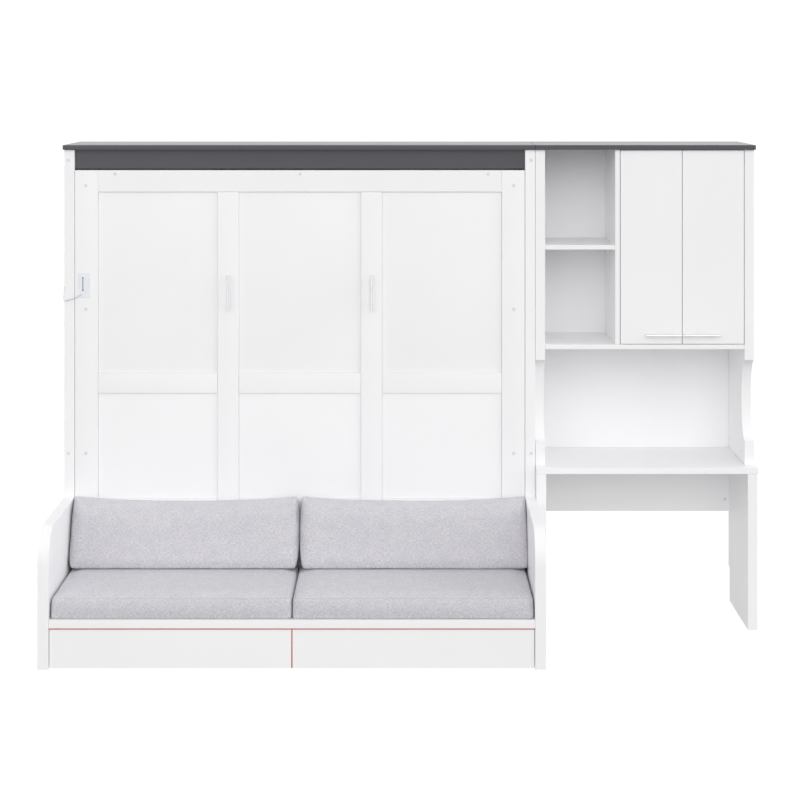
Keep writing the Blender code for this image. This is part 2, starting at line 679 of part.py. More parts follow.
def build_lock_plate(steel, bed):
    """Slotted plate on the bed's left stile, with the chain's knob and its last links on it."""
    left = -FACE_HALF + LOCK_PLATE_FROM_EDGE
    back = -TOUCH
    front = back - LOCK_PLATE_BOARD
    plate = add_mesh(
        "lock_plate",
        board_mesh(
            (left, left + LOCK_PLATE_WIDTH),
            (front, back),
            (LOCK_PLATE_BOTTOM, LOCK_PLATE_BOTTOM + LOCK_PLATE_HEIGHT),
        ),
        steel,
        bed,
    )
    x = left + LOCK_SLOT_FROM_EDGE
    low = LOCK_PLATE_BOTTOM + LOCK_SLOT_UP
    radius = LOCK_SLOT_WIDTH / 2
    slot = arc(x, low + LOCK_SLOT_LENGTH - radius, radius, radius, 0, HALF_TURN, HALF_SIDES)
    slot += arc(x, low + radius, radius, radius, HALF_TURN, FULL_TURN, HALF_SIDES)
    shape_with(plate, prism_mesh(slot, "Y", (front - OVERRUN, back + OVERRUN)), "DIFFERENCE")
    knob_back = Vector((KNOB_X, front + LOCK_PLATE_BOARD / 2, KNOB_Z))
    knob_front = Vector((KNOB_X, CHAIN_TURN.y - CHAIN_KNOB_THICKNESS / 2, KNOB_Z))
    shape_with(plate, tube_mesh([knob_back, knob_front], CHAIN_KNOB_RADIUS, PLAIN_SIDES), "UNION")
    links = tube_mesh(chain_route(CHAIN_OPEN_X + CHAIN_OPEN_GAP / 2, KNOB_X), CHAIN_RADIUS, CHAIN_SIDES)
    shape_with(plate, links, "UNION")


def build_chain(steel, root, chain_body):
    """Chain from the anchor down the cabinet's outer side, round its edge and over to the bed."""
    face = -BED_HALF - TOUCH
    anchor = add_mesh(
        "chain_anchor",
        board_mesh(
            (face - ANCHOR_PLATE_BOARD, face),
            (ANCHOR_BACK - ANCHOR_PLATE_HALF, ANCHOR_BACK + ANCHOR_PLATE_HALF),
            (ANCHOR_HEIGHT - ANCHOR_PLATE_HALF, ANCHOR_HEIGHT + ANCHOR_PLATE_HALF),
        ),
        steel,
        root,
    )
    side_x = face - CHAIN_RADIUS
    turn_back = CHAIN_TURN.y + CHAIN_RADIUS + CHAIN_JOINT_PLAY
    start = Vector((side_x, ANCHOR_BACK, ANCHOR_HEIGHT))
    end = Vector((side_x, turn_back, CHAIN_TURN.z))
    hang = []
    for i in range(CHAIN_STEPS + 1):
        share = i / CHAIN_STEPS
        drop = (end.z - start.z) * share
        forward = (end.y - start.y) * share * share
        hang.append(start + Vector((0, forward, drop)))
    shape_with(anchor, tube_mesh(hang, CHAIN_RADIUS, CHAIN_SIDES), "UNION")
    route = chain_route(CHAIN_TURN.x, CHAIN_OPEN_X - CHAIN_OPEN_GAP / 2)
    add_mesh("safety_chain", tube_mesh(route, CHAIN_RADIUS, CHAIN_SIDES), steel, chain_body)


# Sofa base
def build_sofa(looks, root):
    white = looks["white"]
    outline = [(-TOUCH, 0), (-SOFA_REACH, 0)]
    outline += arc(
        -SOFA_REACH + ARM_ROUND_DEEP,
        ARM_HEIGHT - ARM_ROUND_HIGH,
        ARM_ROUND_DEEP,
        ARM_ROUND_HIGH,
        HALF_TURN,
        QUARTER_TURN,
        ARM_ROUND_STEPS,
    )
    outline.append((-TOUCH, ARM_HEIGHT))
    runner_run = (DIVIDER_FRONT, -RUNNER_END_ROOM)
    runner_z = (RUNNER_TOP - RUNNER_HEIGHT, RUNNER_TOP)
    for side, word in ((-1, "left"), (1, "right")):
        span = mirrored(side, ARM_INNER, BED_HALF)
        arm = add_mesh(f"sofa_arm_{word}", prism_mesh(outline, "X", span), white, root)
        runner_x = mirrored(side, ARM_INNER - RUNNER_WIDTH, ARM_INNER + OVERRUN)
        shape_with(arm, board_mesh(runner_x, runner_run, runner_z), "UNION")

    inside = (-ARM_INNER + TOUCH, ARM_INNER - TOUCH)
    seat_front = -SOFA_REACH + SEAT_BOARD_BACK_SET
    seat = board_mesh(inside, (seat_front, 0), (SEAT_BOARD_BOTTOM, SEAT_BOARD_TOP))
    add_mesh("seat_board", seat, white, root)
    under = SEAT_BOARD_BOTTOM - TOUCH
    half = DIVIDER_BOARD / 2
    divider = add_mesh(
        "base_divider", board_mesh((-half, half), (DIVIDER_FRONT, 0), (0, under)), white, root
    )
    runner_half = half + RUNNER_WIDTH
    shape_with(divider, board_mesh((-runner_half, runner_half), runner_run, runner_z), "UNION")
    strip_y = (-SOFA_REACH + STRIP_SET_BACK, DIVIDER_FRONT - TOUCH)
    strip_outline = [
        (inside[0], under),
        (inside[1], under),
        (inside[1], under - STRIP_HEIGHT),
        (STRIP_WIDTH / 2, under - STRIP_HEIGHT),
        (STRIP_WIDTH / 2, DRAWER_FRONT_BOTTOM),
        (-STRIP_WIDTH / 2, DRAWER_FRONT_BOTTOM),
        (-STRIP_WIDTH / 2, under - STRIP_HEIGHT),
        (inside[0], under - STRIP_HEIGHT),
    ]
    add_mesh("drawer_gap_strip", prism_mesh(strip_outline, "Y", strip_y), looks["salmon"], root)


def build_drawer(side, word, looks, drawer_body):
    """Drawer: a front board, and an open box that rides on the two runners."""
    white = looks["white"]
    front_x = mirrored(side, DRAWER_GAP, ARM_INNER - DRAWER_GAP)
    front_y = (DRAWER_FACE, DRAWER_FACE + DRAWER_FRONT_BOARD)
    front = board_mesh(front_x, front_y, (DRAWER_FRONT_BOTTOM, DRAWER_FRONT_TOP))
    add_mesh(f"drawer_front_{word}", front, white, drawer_body)
    low = RUNNER_TOP + TOUCH
    inner = DIVIDER_BOARD / 2 + DRAWER_SIDE_PLAY
    outer = ARM_INNER - DRAWER_SIDE_PLAY
    box = add_mesh(
        f"drawer_box_{word}",
        board_mesh(
            mirrored(side, inner, outer), (DRAWER_BOX_FRONT, -DRAWER_BACK_ROOM), (low, low + DRAWER_HEIGHT)
        ),
        looks["birch"],
        drawer_body,
    )
    hollow = board_mesh(
        mirrored(side, inner + DRAWER_WALL, outer - DRAWER_WALL),
        (DRAWER_BOX_FRONT + DRAWER_WALL, -DRAWER_BACK_ROOM - DRAWER_WALL),
        (low + DRAWER_BOTTOM, low + DRAWER_HEIGHT + OVERRUN),
    )
    shape_with(box, hollow, "DIFFERENCE")


# Cushions
def edge_places(half, radius, arc_steps, flat_steps):
    """Places across one side of a rounded block, closer together where the edges turn."""
    turn = []
    for i in range(arc_steps + 1):
        angle = math.radians(CORNER_TURN) * (arc_steps - i) / arc_steps
        turn.append(-half + radius * (1 - math.tan(angle)))
    flat = half - radius
    between = [-flat + 2 * flat * i / flat_steps for i in range(1, flat_steps)]
    return turn + between + [-place for place in reversed(turn)]


def rounded(point, halves, radius):
    """Move a point of a block's surface onto the block with rounded edges."""
    core = Vector([max(-(h - radius), min(h - radius, c)) for c, h in zip(point, halves)])
    return core + (point - core).normalized() * radius


def cushion_mesh(width, length, thickness, crown, radius, pull, far_thickness=None):
    """A crowned cushion, lying on its flat face in the middle of x and y, from z = 0 upwards.

    Its sides pull in between the corners. With a far_thickness it tapers from thickness at -Y to that
    at +Y, and only its far edge and its two sides pull in.
    """
    halves = Vector((width / 2, length / 2, thickness / 2))
    steps = (CUSHION_LONG_STEPS, CUSHION_SHORT_STEPS, CUSHION_THROUGH_STEPS)
    places = [edge_places(h, radius, CUSHION_ARC_STEPS, n) for h, n in zip(halves, steps)]
    lasts = [len(row) - 1 for row in places]
    shape = bmesh.new()
    corners = {}

    def corner(index):
        if index in corners:
            return corners[index]
        block = Vector([row[i] for row, i in zip(places, index)])
        share = Vector([c / h for c, h in zip(block, halves)])
        point = rounded(block, halves, radius)
        swell = (1 - share.x**CROWN_POWER) * (1 - share.y**CROWN_POWER)
        lift = (point.z + halves.z) / thickness
        ends = pull * (1 - share.y**2) * point.x / halves.x
        edge = pull * (1 - share.x**2) * point.y / halves.y
        if far_thickness is not None:
            edge *= max(share.y, 0)
        place = Vector((point.x - ends, point.y - edge, point.z + halves.z))
        if far_thickness is not None:
            along = (point.y + halves.y) / length
            place.z *= 1 + (far_thickness / thickness - 1) * along
        place.z += crown * swell * lift
        corners[index] = shape.verts.new(place)
        return corners[index]

    for axis in AXES:
        first, second = [a for a in AXES if a != axis]
        for level in (0, lasts[axis]):
            for i in range(lasts[first]):
                for j in range(lasts[second]):
                    ring = []
                    for di, dj in RING_STEPS:
                        index = [0, 0, 0]
                        index[axis] = level
                        index[first] = i + di
                        index[second] = j + dj
                        ring.append(corner(tuple(index)))
                    shape.faces.new(ring)
    return shape


def build_seat_cushion(side, word, fabric, root):
    inner = SEAT_CUSHION_MIDDLE_ROOM
    outer = ARM_INNER - SEAT_CUSHION_SIDE_ROOM
    low = SEAT_BOARD_TOP + TOUCH
    thickness = SEAT_CUSHION_TOP - SEAT_CUSHION_CROWN - low
    shape = cushion_mesh(
        outer - inner,
        SEAT_CUSHION_DEPTH,
        thickness,
        SEAT_CUSHION_CROWN,
        SEAT_CUSHION_ROUND,
        SEAT_CUSHION_PULL,
    )
    middle = Vector((side * (inner + outer) / 2, -CUSHION_BACK_ROOM - SEAT_CUSHION_DEPTH / 2, low))
    shape.transform(Matrix.Translation(middle))
    add_mesh(f"seat_cushion_{word}", shape, fabric, root)


def build_back_cushion(side, word, fabric, cushion_body):
    """Back cushion: upright wedge whose flat face stands just before the bed's front."""
    shape = cushion_mesh(
        BACK_CUSHION_WIDTH,
        BACK_CUSHION_HEIGHT,
        BACK_CUSHION_LOW_THICKNESS,
        BACK_CUSHION_CROWN,
        BACK_CUSHION_ROUND,
        BACK_CUSHION_PULL,
        BACK_CUSHION_HIGH_THICKNESS,
    )
    shape.transform(Matrix.Rotation(math.radians(QUARTER_TURN), MATRIX_SIZE, "X"))
    x = side * BACK_CUSHION_PITCH / 2 + BACK_CUSHION_SHIFT
    middle = Vector((x, -CUSHION_BACK_ROOM, BACK_CUSHION_BOTTOM + BACK_CUSHION_HEIGHT / 2))
    shape.transform(Matrix.Translation(middle))
    add_mesh(f"back_cushion_{word}", shape, fabric, cushion_body)


# Hutch
def scooped_side(span, white, name, root):
    """Hutch side standing on the desk, its front edge scooped out over the desk."""
    low = DESK_TOP + TOUCH
    outline = [(DEPTH, low), (0, low)]
    reach = (SCOOP_DEPTH, SCOOP_HALF_HEIGHT)
    outline += arc(0, SCOOP_MIDDLE, *reach, -QUARTER_TURN, QUARTER_TURN, SCOOP_STEPS)
    outline += [(0, BOARD_TOP), (DEPTH, BOARD_TOP)]
    add_mesh(name, prism_mesh(outline, "X", span), white, root)


def build_hutch(looks, root):
    white = looks["white"]
    cap_depth = (-CAP_FRONT, DEPTH)
    cap = board_mesh((HUTCH_LEFT, RIGHT_END), cap_depth, (CAP_BOTTOM, HEIGHT))
    hutch_cap = add_mesh("hutch_cap", cap, looks["dark"], root)
    scooped_side((HUTCH_LEFT, HUTCH_INNER_LEFT), white, "hutch_side_left", root)
    scooped_side((HUTCH_INNER_RIGHT, HUTCH_RIGHT), white, "hutch_side_right", root)
    depth = (0, BACK_FRONT - TOUCH)
    between = (HUTCH_INNER_LEFT + TOUCH, HUTCH_INNER_RIGHT - TOUCH)
    bottom_z = (HUTCH_BOTTOM_TOP - HUTCH_BOTTOM_BOARD, HUTCH_BOTTOM_TOP)
    bottom = add_mesh("hutch_bottom", board_mesh(between, depth, bottom_z), white, root)
    upright_z = (HUTCH_BOTTOM_TOP + TOUCH, BOARD_TOP)
    upright = board_mesh((DIVIDER_LEFT, DIVIDER_RIGHT), depth, upright_z)
    add_mesh("hutch_divider", upright, white, root)
    shelf_x = (HUTCH_INNER_LEFT + TOUCH, DIVIDER_LEFT - TOUCH)
    add_mesh("hutch_shelf", board_mesh(shelf_x, depth, (SHELF_TOP - SHELF_BOARD, SHELF_TOP)), white, root)
    back_z = (DESK_TOP + TOUCH, BOARD_TOP)
    back = board_mesh(between, (BACK_FRONT, BACK_FRONT + BACK_SHEET), back_z)
    add_mesh("hutch_back_panel", back, white, root)
    pin_y = DOOR_BOARD / 2
    for pin_x in (LEFT_DOOR_PIN, RIGHT_DOOR_PIN):
        low_pin = [
            Vector((pin_x, pin_y, HUTCH_BOTTOM_TOP - OVERRUN)),
            Vector((pin_x, pin_y, DOOR_BOTTOM + DOOR_PIN_REACH)),
        ]
        shape_with(bottom, tube_mesh(low_pin, DOOR_PIN_RADIUS, PLAIN_SIDES), "UNION")
        high_pin = [
            Vector((pin_x, pin_y, DOOR_TOP - DOOR_PIN_REACH)),
            Vector((pin_x, pin_y, CAP_BOTTOM + OVERRUN)),
        ]
        shape_with(hutch_cap, tube_mesh(high_pin, DOOR_PIN_RADIUS, PLAIN_SIDES), "UNION")


def build_door(side, word, looks, door_body):
    """Inset hutch door on two pins, with its handle low at the free edge."""
    edge = LEFT_DOOR_EDGE if side < 0 else RIGHT_DOOR_EDGE
    pin_x = LEFT_DOOR_PIN if side < 0 else RIGHT_DOOR_PIN
    free = edge - side * DOOR_WIDTH
    door = add_mesh(
        f"hutch_door_{word}",
        board_mesh((edge, free), (0, DOOR_BOARD), (DOOR_BOTTOM, DOOR_TOP)),
        looks["white"],
        door_body,
    )
    pin_y = DOOR_BOARD / 2
    for start, end in (
        (DOOR_BOTTOM - OVERRUN, DOOR_BOTTOM + DOOR_BORE_DEPTH),
        (DOOR_TOP - DOOR_BORE_DEPTH, DOOR_TOP + OVERRUN),
    ):
        bore = [Vector((pin_x, pin_y, start)), Vector((pin_x, pin_y, end))]
        shape_with(door, tube_mesh(bore, DOOR_PIN_RADIUS + PIN_PLAY, PLAIN_SIDES), "DIFFERENCE")
    middle = Vector((free + side * DOOR_HANDLE_FROM_EDGE, 0, DOOR_BOTTOM + DOOR_HANDLE_UP))
    build_handle(f"door_handle_{word}", middle, Vector((1, 0, 0)), looks["nickel"], door_body)


# Desk
def build_desk(looks, root):
    white = looks["white"]
    top = board_mesh((HUTCH_LEFT, DESK_RIGHT), (-DESK_REACH, DEPTH), (DESK_UNDER, DESK_TOP))
    add_mesh("desk_top", top, white, root)
    leg_top = DESK_UNDER - TOUCH
    outline = [
        (-DESK_REACH, 0),
        (-DESK_REACH, leg_top),
        (DESK_LEG_BACK, leg_top),
        (DESK_LEG_BACK, SKIRTING_HEIGHT),
        (DESK_LEG_BACK - SKIRTING_DEPTH, SKIRTING_HEIGHT),
        (DESK_LEG_BACK - SKIRTING_DEPTH, 0),
    ]
    left = (HUTCH_LEFT, HUTCH_LEFT + DESK_LEG)
    right = (DESK_RIGHT - DESK_LEG_INSET - DESK_LEG, DESK_RIGHT - DESK_LEG_INSET)
    add_mesh("desk_leg_left", prism_mesh(outline, "X", left), white, root)
    add_mesh("desk_leg_right", prism_mesh(outline, "X", right), white, root)
    modesty = board_mesh(
        (left[1] + TOUCH, right[0] - TOUCH),
        (MODESTY_BACK - MODESTY_BOARD, MODESTY_BACK),
        (MODESTY_BOTTOM, leg_top),
    )
    add_mesh("modesty_panel", modesty, white, root)


def clear_scene():
    for thing in list(bpy.data.objects):
        bpy.data.objects.remove(thing, do_unlink=True)


def main():
    clear_scene()
    looks = {word: finish(*values) for word, values in FINISHES.items()}
    unit = bpy.data.objects.new("unit", None)
    bpy.context.collection.objects.link(unit)
    unit.location = -FOOTPRINT_MIDDLE

    cabinet = add_body("cabinet", unit, Vector((0, 0, 0)))
    build_cabinet(looks, cabinet)
    build_sofa(looks, cabinet)
    build_hutch(looks, cabinet)
    build_desk(looks, cabinet)

    bed = add_body("bed", unit, PIVOT)
    build_bed(looks, bed)
    build_lock_plate(looks["nickel"], bed)
    chain_body = add_body("chain", unit, CHAIN_TURN)
    build_chain(looks["nickel"], cabinet, chain_body)

    cushion_axis = Vector((0, BACK_CUSHION_EDGE, BACK_CUSHION_BOTTOM))
    for side, word in ((-1, "left"), (1, "right")):
        handle_place = Vector((side * MID_STILE_OUT, 0, BED_HANDLE_HEIGHT))
        build_handle(f"bed_handle_{word}", handle_place, Vector((0, 0, 1)), looks["nickel"], bed)

        leg_axis = Vector((side * (FACE_HALF - LEG_PIVOT_IN), LEG_BACK, BED_TOP))
        build_fold_leg(side, word, looks["dark_steel"], add_body(f"leg_{word}", unit, leg_axis))

        spring_foot = Vector((side * SPRING_X, SPRING_FOOT.y, SPRING_FOOT.z))
        cylinder_body = add_body(f"cylinder_{word}", unit, spring_foot)
        rod_body = add_body(f"rod_{word}", unit, spring_foot)
        build_spring(side, word, looks, cylinder_body, rod_body)

        build_seat_cushion(side, word, looks["fabric"], cabinet)
        cushion_body = add_body(f"cushion_{word}", unit, cushion_axis)
        build_back_cushion(side, word, looks["fabric"], cushion_body)

        drawer_body = add_body(f"drawer_{word}", unit, Vector((0, DRAWER_FACE, 0)))
        build_drawer(side, word, looks, drawer_body)

        pin_x = LEFT_DOOR_PIN if side < 0 else RIGHT_DOOR_PIN
        door_body = add_body(f"door_{word}", unit, Vector((pin_x, DOOR_BOARD / 2, DOOR_BOTTOM)))
        build_door(side, word, looks, door_body)


main()
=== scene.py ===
"""Looks of a wall bed with its sofa, desk and hutch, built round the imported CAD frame.

Places are given from three planes, as in the part's source: the middle of the bed unit, the front of
the cabinet and the floor. MIDDLE turns them into the frame's own coordinates. Sizes are in metres,
and a name that ends in _mm is in millimetres.
"""
import logging
import math
from dataclasses import dataclass, field
from enum import Enum
from functools import cached_property
from typing import ClassVar, Sequence

import bmesh
import bpy
import numpy as np
from mathutils import Matrix, Vector, noise
from mathutils.geometry import tessellate_polygon


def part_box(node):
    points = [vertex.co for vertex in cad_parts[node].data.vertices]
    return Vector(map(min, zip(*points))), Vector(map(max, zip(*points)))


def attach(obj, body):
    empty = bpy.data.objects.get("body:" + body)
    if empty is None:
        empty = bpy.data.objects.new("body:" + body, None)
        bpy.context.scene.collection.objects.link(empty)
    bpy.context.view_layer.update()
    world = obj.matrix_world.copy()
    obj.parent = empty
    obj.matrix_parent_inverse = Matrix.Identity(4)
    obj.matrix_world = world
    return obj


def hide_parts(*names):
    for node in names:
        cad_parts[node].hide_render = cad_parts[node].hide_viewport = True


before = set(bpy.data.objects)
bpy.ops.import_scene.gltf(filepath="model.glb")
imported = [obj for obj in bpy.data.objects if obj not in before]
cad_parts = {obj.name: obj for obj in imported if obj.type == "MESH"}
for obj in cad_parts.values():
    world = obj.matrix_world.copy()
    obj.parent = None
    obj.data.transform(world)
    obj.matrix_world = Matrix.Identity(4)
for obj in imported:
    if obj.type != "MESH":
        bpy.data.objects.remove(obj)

LOG = logging.getLogger("wall_bed")
MIDDLE = Vector((-0.51015, 0.0785, 0.0))
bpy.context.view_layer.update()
MM_IN_METRE = 1000
BUSY = (0.32, 0.68)  # where most of a noise's values lie
QUARTER = math.radians(90)
PURE_WHITE = (1.0, 1.0, 1.0, 1.0)

Rgba = tuple[float, float, float, float]
Pair = tuple[float, float]
Points = np.ndarray
Tree = bpy.types.NodeTree
Node = bpy.types.Node
Socket = bpy.types.NodeSocket
Material = bpy.types.Material
Shape = bmesh.types.BMesh


class Along(Enum):
    """Axis that a grain, a brushed finish or a board runs along."""

    X = 0
    Z = 2


class Side(Enum):
    """Left or right half of the bed unit, seen from the room."""

    LEFT = -1
    RIGHT = 1

    @property
    def word(self) -> str:
        """The side's name as the nodes spell it."""
        return self.name.lower()


class Eased(Enum):
    """Width of a piece's eased edges, in millimetres."""

    SLAT = 2.4
    CABINET = 1.8
    FACE = 1.7
    DESK = 1.6
    WALL_RAIL = 1.5
    FRAME = 1.2
    BED_BOX = 1.0
    FRONT = 0.9
    INNER = 0.8
    PANEL = 0.6
    BAR = 0.5
    FIELD = 0.4
    PLATE = 0.3
    ROD = 0.2
    BACKING = 0.05


# --------------------------------------------------------------------------- small tools
def at(x: float, y: float, z: float) -> Vector:
    """The frame's point for a place from the bed's middle, the cabinet's front and the floor."""
    return Vector((x, y, z)) + MIDDLE


def linear(hex_code: str) -> Rgba:
    """Turn an sRGB hex colour into the linear colour that the shaders take.

    Args:
        hex_code: Six hex digits, such as "F1F1F3".

    Returns:
        Linear red, green and blue, and an alpha of one.
    """
    channels = [int(hex_code[i : i + 2], 16) / 255 for i in (0, 2, 4)]
    # The numbers are those of the sRGB curve.
    red, green, blue = (c / 12.92 if c <= 0.04045 else ((c + 0.055) / 1.055) ** 2.4 for c in channels)
    return (red, green, blue, 1.0)


def shaded(colour: Rgba, share: float) -> Rgba:
    """The colour at a share of its brightness, which may be over one."""
    red, green, blue = (min(1.0, c * share) for c in colour[:3])
    return (red, green, blue, 1.0)


def per_metre(size_mm: float) -> float:
    """How many cells of a pattern of this size lie in a metre."""
    return MM_IN_METRE / size_mm


def add_node(tree: Tree, kind: str, inputs: dict | None = None, **settings: object) -> Node:
    """Add one node with its settings, its values and its links.

    Args:
        tree: The node tree that gets the node.
        kind: Blender's name of the node's type, without the ShaderNode before it.
        inputs: Values or output sockets, by the input's name or number.
        **settings: Attributes to set before the inputs.

    Returns:
        The new node.
    """
    node = tree.nodes.new(f"ShaderNode{kind}")
    for name, value in settings.items():
        setattr(node, name, value)
    for key, value in (inputs or {}).items():
        if isinstance(value, Socket):
            tree.links.new(value, node.inputs[key])
        else:
            node.inputs[key].default_value = value
    return node


def start_material(name: str, values: dict[str, float | Rgba]) -> tuple[Material, Node, Socket]:
    """Make a Principled material.

    Args:
        name: Name of the real finish.
        values: Constant values for the shader's own sockets.

    Returns:
        The material, its shader and the place of a point on the piece.
    """
    material = bpy.data.materials.new(name)
    material.use_nodes = True
    shader = material.node_tree.nodes["Principled BSDF"]
    for key, value in values.items():
        shader.inputs[key].default_value = value
    return material, shader, add_node(material.node_tree, "TexCoord").outputs["Object"]


def spread(value: Socket, low: float = 0.0, high: float = 1.0) -> Socket:
    """Spread the busy middle of a noise over a range.

    Args:
        value: The noise's output.
        low: Result for the noise's low side.
        high: Result for its high side.

    Returns:
        The spread value.
    """
    inputs = {"Value": value, "From Min": BUSY[0], "From Max": BUSY[1], "To Min": low, "To Max": high}
    return add_node(value.id_data, "MapRange", inputs).outputs["Result"]


def drawn_out(
    place: Socket, along: Along, long_mm: float, wide_mm: float, detail: float, distortion: float = 0.0
) -> Socket:
    """Noise whose cells are long on one axis and narrow on the other two.

    Args:
        place: Place of the point that is shaded.
        along: The long axis.
        long_mm: Length of a cell.
        wide_mm: Its width.
        detail: How many finer layers the noise has.
        distortion: How far it wanders.

    Returns:
        The noise.
    """
    scale = [per_metre(wide_mm)] * 3
    scale[along.value] = per_metre(long_mm)
    tree = place.id_data
    way = add_node(tree, "VectorMath", {0: place, 1: Vector(scale)}, operation="MULTIPLY")
    inputs = {"Vector": way.outputs[0], "Scale": 1.0, "Detail": detail, "Distortion": distortion}
    return add_node(tree, "TexNoise", inputs).outputs["Fac"]


def surface(
    shader: Node,
    colour: Socket,
    relief: Socket,
    deep_mm: float,
    strength: float,
    gloss: Socket | None = None,
) -> None:
    """Give a shader its colour, its relief and its gloss.

    Args:
        shader: The material's Principled shader.
        colour: Its colour.
        relief: Height of its fine pattern.
        deep_mm: Depth of that pattern.
        strength: How strongly the pattern shows.
        gloss: Its roughness, and none where that is the same all over.
    """
    tree = shader.id_data
    tree.links.new(colour, shader.inputs["Base Color"])
    if gloss is not None:
        tree.links.new(gloss, shader.inputs["Roughness"])
    inputs = {"Height": relief, "Distance": deep_mm / MM_IN_METRE, "Strength": strength}
    tree.links.new(add_node(tree, "Bump", inputs).outputs["Normal"], shader.inputs["Normal"])


# --------------------------------------------------------------------------- finishes
@dataclass(frozen=True)
class SprayedLacquer:
    """Satin lacquer sprayed on board: even colour, soft gloss, a faint orange peel.

    The peel of a real sprayed board is about 2 mm wide. It is drawn wider so that it shows.
    """

    SHADER: ClassVar[dict[str, float]] = {"IOR": 1.5}
    name: str
    hex_code: str
    worn_hex: str
    roughness: float
    peel_mm: float = 7.0
    peel_deep_mm: float = 0.035
    peel_strength: float = 0.6
    drift_mm: float = 340.0
    handled_mm: float = 90.0
    handled_dull: float = 0.05
    polished_share: float = 0.7

    def make(self) -> Material:
        """Build the material.

        Returns:
            The finish as a material.
        """
        material, shader, place = start_material(self.name, self.SHADER)
        tree = material.node_tree
        patterns = []
        for size_mm, detail in ((self.drift_mm, 3.0), (self.handled_mm, 4.0), (self.peel_mm, 2.0)):
            inputs = {"Vector": place, "Scale": per_metre(size_mm), "Detail": detail}
            patterns.append(add_node(tree, "TexNoise", inputs).outputs["Fac"])
        drift, handled, peel = patterns
        inputs = {0: spread(drift), 6: linear(self.hex_code), 7: linear(self.worn_hex)}
        tone = add_node(tree, "Mix", inputs, data_type="RGBA")
        polished = self.roughness - self.handled_dull * self.polished_share
        gloss = spread(handled, polished, self.roughness + self.handled_dull)
        surface(shader, tone.outputs[2], peel, self.peel_deep_mm, self.peel_strength, gloss)
        return material


